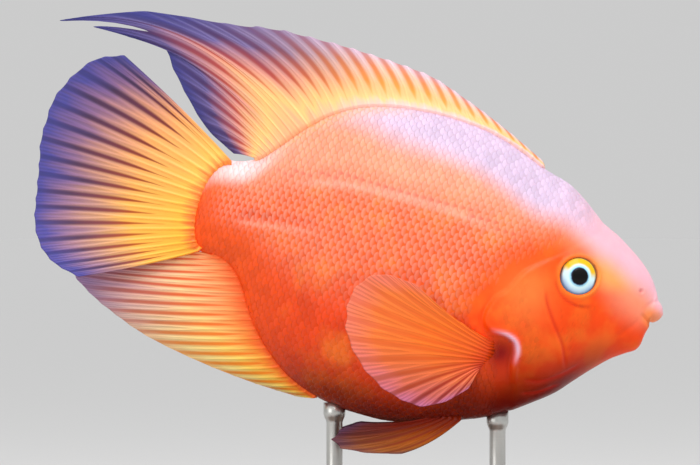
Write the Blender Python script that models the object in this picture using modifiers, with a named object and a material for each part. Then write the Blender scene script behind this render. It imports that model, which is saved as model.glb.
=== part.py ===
"""A blood parrot cichlid at life size, nose down as it swims, on a plain display stand with two rods.

Metres, +Z up. The nose points towards +X and the fish's right side faces -Y. The origin is the
centre of the stand's underside. The fish is modelled level in its own frame, whose origin is the
middle of the tail fin's root, and an empty then tilts and lifts it. Lengths in the tables are in
millimetres in that frame: x forward, z up.
"""

import math

import bmesh
import bpy
import numpy as np
from mathutils import Vector

MM = 0.001

# Pose of the fish
NOSE_DOWN = math.radians(15)
TAIL_ROOT_AT = (-63.5 * MM, 0.0, 97.0 * MM)

# Body: outline stations (x, z) and half widths (x, y)
BACK = [
    (-3.5, 3.0), (-2.6, 10.5), (-1.2, 14.6), (0.5, 16.6), (3, 17.7), (7, 18.4), (12, 20.6),
    (18, 27.0), (24, 34.0), (30, 39.6), (37, 43.9), (45, 46.7), (55, 48.3), (65, 48.8),
    (75, 48.2), (85, 46.2), (93, 43.2), (100, 40.3), (107, 38.3), (113, 35.0), (118, 31.3),
    (122, 28.3), (126, 26.4), (131, 23.4), (136, 19.9), (140, 16.2), (142.4, 12.6),
    (144.2, 9.5), (145.5, 7.7), (146, 6.3),
]
BELLY = [
    (-3.5, 2.0), (-2.6, -7.0), (-1, -10.6), (1, -12.0), (4, -12.4), (8, -12.9), (13, -14.9),
    (18, -20.6), (22, -27.4), (27, -33.6), (32, -38.2), (38, -42.4), (45, -45.4), (52, -47.2),
    (60, -48.2), (68, -48.3), (76, -47.4), (84, -45.4), (93, -42.2), (100, -39.6),
    (107, -35.6), (113, -31.3), (120, -25.8), (124, -21.4), (129, -16.0), (134, -11.2),
    (138, -8.4), (140.6, -6.7), (141.7, -4.8), (142.1, -2.0), (142.4, 0.8), (142.9, 2.5),
    (144.2, 3.4), (145.4, 4.6), (146, 6.1),
]
HALF_WIDTH = [
    (-3.5, 0.6), (-2, 2.4), (0, 3.6), (6, 5.2), (12, 7.0), (20, 10.2), (30, 13.8), (40, 17.0),
    (52, 20.0), (64, 21.8), (76, 22.4), (88, 22.0), (98, 21.2), (106, 20.2), (113, 18.6),
    (120, 16.2), (127, 13.0), (133, 9.8), (138, 7.2), (141.5, 5.2), (144, 3.4), (145.4, 1.9),
    (146, 0.7),
]
BACK_KEEL = [(-3.5, 1.1), (20, 1.3), (85, 1.3), (112, 1.05), (146, 1.0)]
BELLY_KEEL = [(-3.5, 1.1), (25, 1.25), (50, 1.05), (70, 0.92), (100, 0.95), (146, 1.0)]
WIDEST_AT = 0.5
BODY_RINGS = 50
BODY_SIDES = 36
GAP = 0.3

# Head
HEAD_EDGE = [
    (122.5, 60), (121.6, 29), (117, 22), (112, 17.2), (106, 12.4), (101, 8.2), (98.6, 4.2),
    (97, 0.8), (94.6, -1.4), (93, -4.6), (92.3, -8), (93.2, -11.2), (96.2, -13),
    (101, -13.2), (104, -14.6), (105.2, -17.4), (105.2, -21.5), (106.2, -26), (107.8, -31),
    (108.6, -60),
]
GILL_COVER_FRONT = [
    (107.2, -27), (113.4, -26.2), (119, -22.4), (119.8, -16.4), (117.8, -10.4), (113.6, -5),
    (109.4, 0.4), (107.2, 5), (105.6, 9.6),
]
GILL_COVER_REAR = [
    (101.2, 8.0), (98.8, 4.0), (97.2, 0.6), (94.8, -1.6), (93.2, -4.7), (92.5, -8),
    (93.3, -11.0), (96.4, -12.8), (101.2, -13.0), (104.2, -14.5), (105.4, -17.4),
    (105.4, -21.5),
]
GILL_COVER_THICKNESS = 2.2
GILL_BULGE = 1.7
GILL_BULGE_AT = (103.0, -7.0)
GILL_BULGE_REACH = (13.0, 15.0)
JAW_EDGE = [
    (152, 2.5), (141.8, 2.3), (138.6, 0.9), (136.4, -2.6), (133.2, -7.6), (129.8, -12.6),
    (127.6, -24), (152, -24),
]
UPPER_LIP = [(138.6, 5.2, 3.0), (141.2, 4.3, 4.1), (143.4, 2.6, 5.1), (144.6, 0.0, 5.6)]
LOWER_LIP = [(138.6, 5.0, -0.6), (140.0, 4.0, -0.2), (140.9, 2.4, 0.0), (141.2, 0.0, 0.1)]
CHIN = [(136.4, 4.6, -4.6), (138.8, 3.4, -4.6), (139.9, 1.9, -4.6), (140.3, 0.0, -4.6)]
LIP_RADIUS = 1.4
CHIN_RADIUS = 1.9
NOSTRIL_AT = (132.6, 12.4)
NOSTRIL_RADIUS = 0.8
NOSTRIL_DEPTH = 1.2

# Eye
EYE_AT = (118.0, 10.8)
EYE_RADIUS = 7.0
EYE_FLATNESS = 0.6
EYE_SHOWS = 1.8
EYE_CELLS = (24, 12)
EYE_RIM_RADII = (6.1, 0.85)
EYE_RIM_CELLS = (24, 6)

# Trunk and tail stalk
STALK_FRONT = 22.0

# Fins: each ray is (root x, root z), (bend x, bend z), (tip x, tip z)
DORSAL_RAYS = [
    ((99.0, 40.5), (98.6, 41.6), (97.8, 42.5)),
    ((88.0, 45.2), (86.5, 47.4), (83.5, 49.3)),
    ((76.0, 48.0), (73.5, 51.8), (69.5, 55.0)),
    ((64.0, 48.7), (61.0, 54.5), (55.5, 59.4)),
    ((52.0, 47.9), (48.5, 55.5), (41.5, 60.6)),
    ((42.0, 45.8), (37.0, 55.0), (27.0, 61.2)),
    ((34.0, 42.2), (26.0, 54.5), (10.0, 61.0)),
    ((28.5, 38.4), (16.0, 53.5), (-9.0, 58.3)),
    ((24.5, 34.5), (2.0, 53.5), (-32.0, 55.8)),
    ((21.5, 31.2), (-20.0, 63.0), (-59.0, 45.6)),
    ((19.0, 28.2), (-12.0, 52.0), (-46.0, 46.6)),
    ((17.0, 25.8), (-4.0, 41.5), (-26.0, 46.4)),
    ((15.4, 23.9), (-2.0, 35.5), (-20.6, 40.6)),
    ((14.0, 22.4), (1.0, 29.6), (-13.6, 32.8)),
    ((12.6, 21.2), (4.0, 24.4), (-5.0, 24.9)),
    ((11.0, 20.2), (8.0, 20.6), (4.5, 19.9)),
]
TAIL_RAYS = [
    ((4.5, 17.6), (-13.0, 29.0), (-36.0, 40.6)),
    ((2.0, 16.4), (-17.0, 28.6), (-43.6, 37.6)),
    ((0.0, 13.6), (-22.0, 23.6), (-50.6, 29.0)),
    ((-1.4, 10.0), (-25.0, 16.6), (-54.0, 19.6)),
    ((-2.2, 6.4), (-26.0, 9.6), (-54.3, 10.0)),
    ((-2.6, 3.0), (-26.0, 3.4), (-52.8, 1.0)),
    ((-2.6, -0.6), (-26.0, -2.6), (-51.3, -7.6)),
    ((-2.2, -4.4), (-25.0, -9.0), (-49.8, -15.6)),
    ((-1.4, -7.8), (-22.0, -14.6), (-45.6, -23.4)),
    ((-0.2, -10.6), (-18.0, -18.6), (-39.4, -27.6)),
    ((2.0, -12.3), (-13.0, -21.0), (-32.0, -29.4)),
]
ANAL_RAYS = [
    ((49.0, -46.6), (46.5, -47.4), (43.5, -47.8)),
    ((43.0, -44.7), (38.5, -46.6), (32.0, -47.4)),
    ((36.5, -41.5), (28.5, -44.6), (19.0, -46.3)),
    ((31.0, -37.4), (18.5, -41.6), (5.0, -44.3)),
    ((26.5, -33.0), (10.5, -37.8), (-8.0, -41.5)),
    ((22.8, -28.5), (4.0, -33.6), (-18.0, -37.9)),
    ((19.8, -23.8), (-2.0, -29.4), (-27.0, -33.8)),
    ((17.2, -19.6), (-6.0, -26.0), (-34.0, -30.0)),
    ((14.0, -15.8), (-2.0, -21.8), (-20.0, -27.4)),
    ((10.0, -13.5), (1.0, -17.6), (-9.0, -21.2)),
    ((6.0, -12.6), (3.4, -14.2), (0.5, -15.6)),
]
PECTORAL_RAYS = [
    ((95.6, -15.0), (86.0, -12.8), (76.0, -9.0)),
    ((95.6, -16.0), (82.0, -12.2), (68.5, -4.4)),
    ((95.6, -17.0), (78.0, -12.8), (60.0, -3.7)),
    ((95.6, -18.2), (75.0, -14.6), (53.0, -7.4)),
    ((95.5, -19.4), (73.0, -17.8), (50.4, -14.5)),
    ((95.3, -20.5), (73.5, -21.2), (51.5, -22.0)),
    ((95.1, -21.5), (75.0, -24.6), (56.0, -29.3)),
    ((94.9, -22.4), (79.0, -27.8), (63.0, -36.2)),
    ((94.8, -23.2), (83.0, -30.0), (71.0, -41.0)),
    ((94.8, -23.9), (87.0, -31.0), (79.0, -42.0)),
    ((94.8, -24.4), (91.5, -30.0), (86.5, -38.0)),
    ((94.9, -24.8), (94.5, -28.0), (93.3, -31.4)),
]
PELVIC_RAYS = [
    ((94.0, -41.4), (87.4, -51.4), (78.6, -56.4)),
    ((92.0, -42.0), (81.6, -54.6), (68.0, -58.8)),
    ((90.0, -42.8), (76.6, -54.8), (60.4, -59.5)),
    ((88.0, -43.6), (73.0, -53.2), (56.6, -57.4)),
    ((86.0, -44.4), (72.0, -50.8), (58.6, -53.6)),
    ((84.0, -45.0), (73.0, -48.8), (64.0, -50.2)),
]
MEMBRANE = 0.5
RAY_RIDGE = 1.0
RAY_TAPER = 0.6
RAY_STEEPNESS = 0.6
FIN_SINK = 3.0
DORSAL_COUNT = 27
TAIL_COUNT = 17
ANAL_COUNT = 17
PECTORAL_COUNT = 14
PELVIC_COUNT = 6
TAIL_SWAY = -5.0
ANAL_SWAY = 5.0
DORSAL_SWAY = 2.0
PECTORAL_FLARE = math.tan(math.radians(21))
PELVIC_FLARE = math.tan(math.radians(10))
PELVIC_ROOT_Y = 6.0
STREAMER_FRONT = -28.0

# Stand
BASE_SIZE = (124 * MM, 80 * MM, 9 * MM)
BASE_ROUND = 2.5 * MM
ROD_RADIUS = 2.5 * MM
ROD_FOOT_RADIUS = 6 * MM
ROD_FOOT_HEIGHT = 2.2 * MM
ROD_PAD_RADIUS = 3.4 * MM
ROD_PAD_HEIGHT = 5 * MM
ROD_SIDES = 24
FRONT_ROD_UNDER = 104.5
REAR_ROD_UNDER = 55.0

# Colours (red, green, blue) and roughness
FLESH = (0.90, 0.16, 0.04)
FACE = (0.92, 0.24, 0.08)
FIN = (0.93, 0.42, 0.12)
IRIS = (0.72, 0.86, 0.88)
STEEL = (0.62, 0.62, 0.60)
WALNUT = (0.16, 0.09, 0.05)


def clear_scene():
    """Remove whatever the scene holds."""
    for old in list(bpy.data.objects):
        bpy.data.objects.remove(old, do_unlink=True)


def new_collection(name):
    """A collection linked to the scene."""
    made = bpy.data.collections.new(name)
    bpy.context.scene.collection.children.link(made)
    return made


def material(name, colour, roughness, metallic=0.0):
    """A Principled material."""
    made = bpy.data.materials.new(name)
    made.use_nodes = True
    shader = made.node_tree.nodes["Principled BSDF"]
    shader.inputs["Base Color"].default_value = (*colour, 1.0)
    shader.inputs["Roughness"].default_value = roughness
    shader.inputs["Metallic"].default_value = metallic
    return made


def curve_through(stations, at):
    """Values of a smooth curve through (place, value) stations that never overshoots them."""
    place, value = np.array(stations, float).T
    at = np.clip(np.asarray(at, float), place[0], place[-1])
    step = np.diff(place)
    slope = np.diff(value) / step
    tangent = np.zeros(len(place))
    tangent[0], tangent[-1] = slope[0], slope[-1]
    turning = slope[:-1] * slope[1:] <= 0
    both = 2 * slope[:-1] * slope[1:] / np.where(turning, 1.0, slope[:-1] + slope[1:])
    tangent[1:-1] = np.where(turning, 0.0, both)
    k = np.clip(np.searchsorted(place, at, side="right") - 1, 0, len(step) - 1)
    t = (at - place[k]) / step[k]
    rise = t * t * (3 - 2 * t)
    start = t * (1 - t) ** 2 * tangent[k] * step[k]
    end = t * t * (t - 1) * tangent[k + 1] * step[k]
    return value[k] * (1 - rise) + value[k + 1] * rise + start + end


def section(x):
    """Top, bottom, widest height, half width and both keels of the body at x."""
    top, bottom = curve_through(BACK, x), curve_through(BELLY, x)
    widest = bottom + (top - bottom) * WIDEST_AT
    half = curve_through(HALF_WIDTH, x)
    return top, bottom, widest, half, curve_through(BACK_KEEL, x), curve_through(BELLY_KEEL, x)


def flank(x, z):
    """Distance of the body's surface from the middle plane at a side point, in millimetres."""
    top, bottom, widest, half, back_keel, belly_keel = section(x)
    above = z >= widest
    share = np.where(above, (z - widest) / (top - widest), (widest - z) / (widest - bottom))
    lean = np.sqrt(np.clip(1 - share**2, 0, 1))
    return half * lean ** np.where(above, back_keel, belly_keel)


def add_object(name, bm, collection, skin=None, parent=None):
    """A mesh object from a bmesh, which is freed."""
    mesh = bpy.data.meshes.new(name)
    bm.to_mesh(mesh)
    bm.free()
    made = bpy.data.objects.new(name, mesh)
    collection.objects.link(made)
    made.parent = parent
    if skin:
        mesh.materials.append(skin)
    return made


def body_form(name, collection, parent, grow=0.0, gills=False):
    """The whole body, a sphere whose rings become the body's sections, grown by some millimetres."""
    bm = bmesh.new()
    bmesh.ops.create_uvsphere(bm, u_segments=BODY_SIDES, v_segments=BODY_RINGS, radius=1.0)
    unit = np.array([v.co for v in bm.verts])
    tail, nose = BACK[0][0], BACK[-1][0]
    x = tail + (nose - tail) * (1 + unit[:, 2]) / 2
    around = np.arctan2(unit[:, 1], unit[:, 0])
    pole = np.abs(unit[:, 2]) > 0.99999
    sine, cosine = np.sin(around), np.cos(around)
    top, bottom, widest, half, back_keel, belly_keel = section(x)
    reach = np.where(sine > 0, top - widest, widest - bottom)
    keel = np.where(sine > 0, back_keel, belly_keel)
    side = np.sign(cosine) * np.abs(cosine) ** keel
    y = np.where(pole, 0.0, half * side + grow * cosine)
    z = np.where(pole, widest, widest + reach * sine + grow * sine)
    x = x + grow * np.clip(unit[:, 2] ** 3, -1, 1)
    if gills:
        off_x = (x - GILL_BULGE_AT[0]) / GILL_BULGE_REACH[0]
        off_z = (z - GILL_BULGE_AT[1]) / GILL_BULGE_REACH[1]
        y = y + np.sign(y) * GILL_BULGE * np.exp(-(off_x**2) - off_z**2)
    for vert, place in zip(bm.verts, np.stack([x, y, z], 1) * MM):
        vert.co = place
    bmesh.ops.recalc_face_normals(bm, faces=bm.faces)
    return add_object(name, bm, collection, parent=parent)


def grown_outline(outline, gap):
    """A closed outline moved outwards by a gap. The outline runs either way round."""
    points = np.array(outline, float)
    ahead, behind = np.roll(points, -1, 0) - points, points - np.roll(points, 1, 0)
    along = ahead / np.linalg.norm(ahead, axis=1)[:, None]
    along += behind / np.linalg.norm(behind, axis=1)[:, None]
    along /= np.linalg.norm(along, axis=1)[:, None]
    area = np.sum(points[:, 0] * np.roll(points[:, 1], -1) - np.roll(points[:, 0], -1) * points[:, 1])
    outwards = np.stack([along[:, 1], -along[:, 0]], 1) * np.sign(area)
    return [tuple(p) for p in points + outwards * gap]


def as_mesh(obj, collection):
    """A curve or a modified mesh turned into a plain welded mesh under the same name and parent."""
    bpy.context.view_layer.update()
    graph = bpy.context.evaluated_depsgraph_get()
    mesh = bpy.data.meshes.new_from_object(obj.evaluated_get(graph))
    bm = bmesh.new()
    bm.from_mesh(mesh)
    bmesh.ops.remove_doubles(bm, verts=bm.verts, dist=1e-6)
    bm.to_mesh(mesh)
    bm.free()
    name, parent, place = obj.name, obj.parent, obj.matrix_basis.copy()
    bpy.data.objects.remove(obj, do_unlink=True)
    made = bpy.data.objects.new(name, mesh)
    made.parent, made.matrix_basis = parent, place
    collection.objects.link(made)
    return made


def side_prism(name, outline, collection, parent, depth=60.0):
    """A block with this side outline, cut through the fish from one side to the other."""
    curve = bpy.data.curves.new(name, "CURVE")
    curve.dimensions = "2D"
    curve.fill_mode = "BOTH"
    curve.extrude = depth * MM
    spline = curve.splines.new("POLY")
    spline.points.add(len(outline) - 1)
    for point, (x, z) in zip(spline.points, outline):
        point.co = (x * MM, z * MM, 0, 1)
    spline.use_cyclic_u = True
    made = bpy.data.objects.new(name, curve)
    collection.objects.link(made)
    made.parent = parent
    made.rotation_euler = (math.pi / 2, 0, 0)
    return as_mesh(made, collection)


def as_helper(obj):
    """Marks an object that shapes others and isn't a part."""
    obj.hide_render = True
    obj.display_type = "WIRE"
    return obj


def boolean(obj, operation, other, solver="EXACT"):
    """Applies one Boolean with another object, or with all objects of a collection."""
    modifier = obj.modifiers.new("cut", "BOOLEAN")
    modifier.operation = operation
    modifier.solver = solver
    if isinstance(other, bpy.types.Collection):
        modifier.operand_type = "COLLECTION"
        modifier.collection = other
    else:
        modifier.object = other
    bpy.context.view_layer.update()
    graph = bpy.context.evaluated_depsgraph_get()
    mesh = bpy.data.meshes.new_from_object(obj.evaluated_get(graph))
    obj.modifiers.clear()
    obj.data = mesh


def keep_largest(obj):
    """Keeps the closed surface with the largest volume and drops loose scraps."""
    bm = bmesh.new()
    bm.from_mesh(obj.data)
    left, shells = set(bm.faces), []
    while left:
        shell, edge_of_shell = set(), [left.pop()]
        while edge_of_shell:
            face = edge_of_shell.pop()
            shell.add(face)
            near = {other for edge in face.edges for other in edge.link_faces} & left
            left -= near
            edge_of_shell.extend(near)
        shells.append(shell)

    def volume(shell):
        return sum(face.calc_center_median().dot(face.normal) * face.calc_area() for face in shell)

    largest = max(shells, key=volume)
    scraps = [face for shell in shells if shell is not largest for face in shell]
    bmesh.ops.delete(bm, geom=scraps, context="FACES")
    bm.to_mesh(obj.data)
    bm.free()


def finish_part(obj, collection, skin):
    """Gives a shaped object its material and smooth shading, and moves it to the part collection."""
    keep_largest(obj)
    obj.data.materials.clear()
    obj.data.materials.append(skin)
    obj.data.shade_smooth()
    obj.data.set_sharp_from_angle(angle=math.radians(40))
    for old in list(obj.users_collection):
        old.objects.unlink(obj)
    collection.objects.link(obj)
    return obj


def lip_roll(name, path, radius, collection, parent):
    """A tapered roll of skin along a lip or the chin, from one side of the mouth to the other."""
    curve = bpy.data.curves.new(name, "CURVE")
    curve.dimensions = "3D"
    curve.bevel_depth = radius * MM
    curve.bevel_resolution = 2
    curve.use_fill_caps = True
    right = [(x, -y, z) for x, y, z in path]
    left = [(x, y, z) for x, y, z in reversed(path[:-1])]
    points = right + left
    spline = curve.splines.new("BEZIER")
    spline.bezier_points.add(len(points) - 1)
    for number, (point, place) in enumerate(zip(spline.bezier_points, points)):
        point.co = Vector(place) * MM
        point.handle_left_type = point.handle_right_type = "AUTO"
        end = min(number, len(points) - 1 - number)
        point.radius = 0.6 if end == 0 else 1.0
    spline.resolution_u = 3
    made = bpy.data.objects.new(name, curve)
    collection.objects.link(made)
    made.parent = parent
    return as_mesh(made, collection)


def outward(x, z, side):
    """Unit vector out of the body at a side point."""
    step = 0.5
    slope_x = (flank(x + step, z) - flank(x - step, z)) / (2 * step)
    slope_z = (flank(x, z + step) - flank(x, z - step)) / (2 * step)
    return Vector((-slope_x, side, -slope_z)).normalized()


def eye_place(side):
    """Centre of an eyeball and the way it looks. Side is -1 on the right and 1 on the left."""
    x, z = EYE_AT
    looks = outward(x, z, side)
    surface = Vector((x, side * float(flank(x, z)), z))
    return surface - looks * (EYE_RADIUS * EYE_FLATNESS - EYE_SHOWS), looks


def turned_to(direction):
    """Rotation that turns +Z to a direction."""
    return direction.to_track_quat("Z", "Y")


def eyeball(name, side, collection, parent, grow=0.0):
    """An eyeball flattened along the way it looks."""
    bm = bmesh.new()
    bmesh.ops.create_uvsphere(
        bm, u_segments=EYE_CELLS[0], v_segments=EYE_CELLS[1], radius=(EYE_RADIUS + grow) * MM
    )
    for vert in bm.verts:
        vert.co.z *= EYE_FLATNESS
    made = add_object(name, bm, collection, parent=parent)
    centre, looks = eye_place(side)
    made.location = centre * MM
    made.rotation_mode = "QUATERNION"
    made.rotation_quaternion = turned_to(looks)
    return made


def eye_rim(name, side, collection, parent):
    """The ring of skin round an eye."""
    bpy.ops.mesh.primitive_torus_add(
        major_radius=EYE_RIM_RADII[0] * MM,
        minor_radius=EYE_RIM_RADII[1] * MM,
        major_segments=EYE_RIM_CELLS[0],
        minor_segments=EYE_RIM_CELLS[1],
    )
    made = bpy.context.object
    made.name = name
    for old in list(made.users_collection):
        old.objects.unlink(made)
    collection.objects.link(made)
    made.parent = parent
    x, z = EYE_AT
    made.location = Vector((x, side * float(flank(x, z)), z)) * MM
    made.rotation_mode = "QUATERNION"
    made.rotation_quaternion = turned_to(outward(x, z, side))
    return made


def nostril_pit(name, side, collection, parent):
    """A blunt cone that sinks one nostril."""
    bm = bmesh.new()
    bmesh.ops.create_cone(
        bm,
        cap_ends=True,
        segments=12,
        radius1=NOSTRIL_RADIUS * 0.6 * MM,
        radius2=NOSTRIL_RADIUS * MM,
        depth=2 * NOSTRIL_DEPTH * MM,
    )
    made = add_object(name, bm, collection, parent=parent)
    x, z = NOSTRIL_AT
    made.location = Vector((x, side * float(flank(x, z)), z)) * MM
    made.rotation_mode = "QUATERNION"
    made.rotation_quaternion = turned_to(outward(x, z, side))
    return made


def ray_paths(key_rays, columns):
    """Root, bend and tip points of evenly many rays read between the key rays, each (columns, 2)."""
    keys = np.array(key_rays, float)
    at = np.linspace(0, len(keys) - 1, columns)
    numbers = np.arange(len(keys))
    lines = [
        curve_through(np.stack([numbers, keys[:, part, axis]], 1), at)
        for part in range(3)
        for axis in range(2)
    ]
    return [np.stack(lines[2 * part : 2 * part + 2], 1) for part in range(3)]


def fin_form(name, key_rays, count, rows, root_thickness, place_y, collection, parent):
    """A fin whose rays stand as ridges on its membrane.

    Each ray is a curve from root to tip pulled towards its bend point. Odd columns lie between
    rays, where the membrane is thin and its edge slightly notched. The roots sink squarely into
    the body. place_y gives the sideways place of a point from its share along the row of rays,
    its share out along the ray, and its root and distance out.
    """
    columns = 2 * count - 1
    root, bend, tip = ray_paths(key_rays, columns)
    line = np.gradient(root, axis=0)
    inwards = np.stack([-line[:, 1], line[:, 0]], 1) / np.linalg.norm(line, axis=1)[:, None]
    inwards *= np.sign(np.sum(inwards * (root - bend)))
    notch = np.where(np.arange(columns) % 2 == 1, 0.985, 1.0)
    root_gap, tip_gap = (np.linalg.norm(ends[-1] - ends[0]) / count for ends in (root, tip))
    bm = bmesh.new()
    bmesh.ops.create_grid(bm, x_segments=columns - 1, y_segments=rows - 1, size=1.0)
    bm.verts.ensure_lookup_table()
    weights = []
    for vert in bm.verts:
        column = round((vert.co.x + 1) / 2 * (columns - 1))
        row = round((vert.co.y + 1) / 2 * (rows - 1)) - 1
        if row < 0:
            flat, share = root[column] + inwards[column] * FIN_SINK, 0.0
        else:
            share = row / (rows - 2) * notch[column]
            flat = (
                root[column] * (1 - share) ** 2
                + bend[column] * 2 * share * (1 - share)
                + tip[column] * share**2
            )
        distance = float(np.linalg.norm(flat - root[column])) * (1 if row >= 0 else -1)
        y = place_y(column / (columns - 1), share, root[column], distance)
        vert.co = Vector((flat[0], y, flat[1])) * MM
        gap = root_gap * (1 - share) + tip_gap * share
        crest = min(RAY_RIDGE * (1 - RAY_TAPER * share), RAY_STEEPNESS * gap)
        crest = crest if column % 2 == 0 else 0.0
        weights.append(root_thickness * (1 - share) ** 3 + MEMBRANE + crest)
    bmesh.ops.triangulate(bm, faces=bm.faces, quad_method="SHORT_EDGE")
    made = add_object(name, bm, collection, parent=parent)
    thickest = max(weights)
    group = made.vertex_groups.new(name="thickness")
    for number, weight in enumerate(weights):
        group.add([number], weight / thickest, "REPLACE")
    solid = made.modifiers.new("thickness", "SOLIDIFY")
    solid.thickness = thickest * MM
    solid.offset = 0.0
    solid.vertex_group = "thickness"
    return as_mesh(made, collection)


def middle_fin(sway, ripples):
    """Sideways place of a fin on the middle plane that sways to one side and ripples a little."""

    def place_y(along, share, _root, _distance):
        return sway * share**1.6 + 0.5 * share * math.sin(along * ripples * math.tau)

    return place_y


def paired_fin(side, root_y, flare):
    """Sideways place of a paired fin that starts just under the skin and stands off backwards."""

    def place_y(_along, _share, root, distance):
        start = root_y if root_y is not None else float(flank(root[0], root[1])) - 0.6
        return side * (start + flare * distance)

    return place_y


def rod(name, under, belly_mould, collection):
    """A rod with a turned foot and a pad cut to the belly, standing on the base."""
    tilt_cos, tilt_sin = math.cos(NOSE_DOWN), math.sin(NOSE_DOWN)
    bottom = float(curve_through(BELLY, under))
    x = TAIL_ROOT_AT[0] + (under * tilt_cos + bottom * tilt_sin) * MM
    touch = TAIL_ROOT_AT[2] + (-under * tilt_sin + bottom * tilt_cos) * MM
    foot = BASE_SIZE[2] + GAP * MM
    inside = touch + ROD_PAD_HEIGHT
    profile = [
        (0, inside),
        (ROD_PAD_RADIUS, inside),
        (ROD_PAD_RADIUS, touch - ROD_PAD_HEIGHT * 0.4),
        (ROD_RADIUS, touch - ROD_PAD_HEIGHT),
        (ROD_RADIUS, foot + ROD_FOOT_HEIGHT * 1.6),
        (ROD_FOOT_RADIUS * 0.8, foot + ROD_FOOT_HEIGHT),
        (ROD_FOOT_RADIUS, foot + ROD_FOOT_HEIGHT * 0.5),
        (ROD_FOOT_RADIUS, foot),
        (0, foot),
    ]
    mesh = bpy.data.meshes.new(name)
    edges = [(i, i + 1) for i in range(len(profile) - 1)]
    mesh.from_pydata([(r, 0, z) for r, z in profile], edges, [])
    made = bpy.data.objects.new(name, mesh)
    collection.objects.link(made)
    made.location = (x, 0, 0)
    turn = made.modifiers.new("turn", "SCREW")
    turn.steps = turn.render_steps = ROD_SIDES
    turn.use_merge_vertices = True
    turn.merge_threshold = 1e-5
    made = as_mesh(made, collection)
    boolean(made, "DIFFERENCE", belly_mould)
    return made


def base_form(name, collection):
    """A flat base with rounded edges, its underside at z = 0."""
    bm = bmesh.new()
    bmesh.ops.create_cube(bm, size=1.0)
    bmesh.ops.scale(bm, vec=BASE_SIZE, verts=bm.verts)
    bmesh.ops.translate(bm, vec=(0, 0, BASE_SIZE[2] / 2), verts=bm.verts)
    made = add_object(name, bm, collection)
    round_off = made.modifiers.new("round", "BEVEL")
    round_off.width = BASE_ROUND
    round_off.segments = 3
    round_off.limit_method = "NONE"
    return made


def union_of(first, others):
    """Joins objects into the first with one Boolean, then removes them."""
    joined = bpy.data.collections.new("joined")
    bpy.context.scene.collection.children.link(joined)
    for other in others:
        for old in list(other.users_collection):
            old.objects.unlink(other)
        joined.objects.link(other)
    boolean(first, "UNION", joined)
    for other in list(joined.objects):
        bpy.data.objects.remove(other, do_unlink=True)
    bpy.data.collections.remove(joined)


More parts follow.
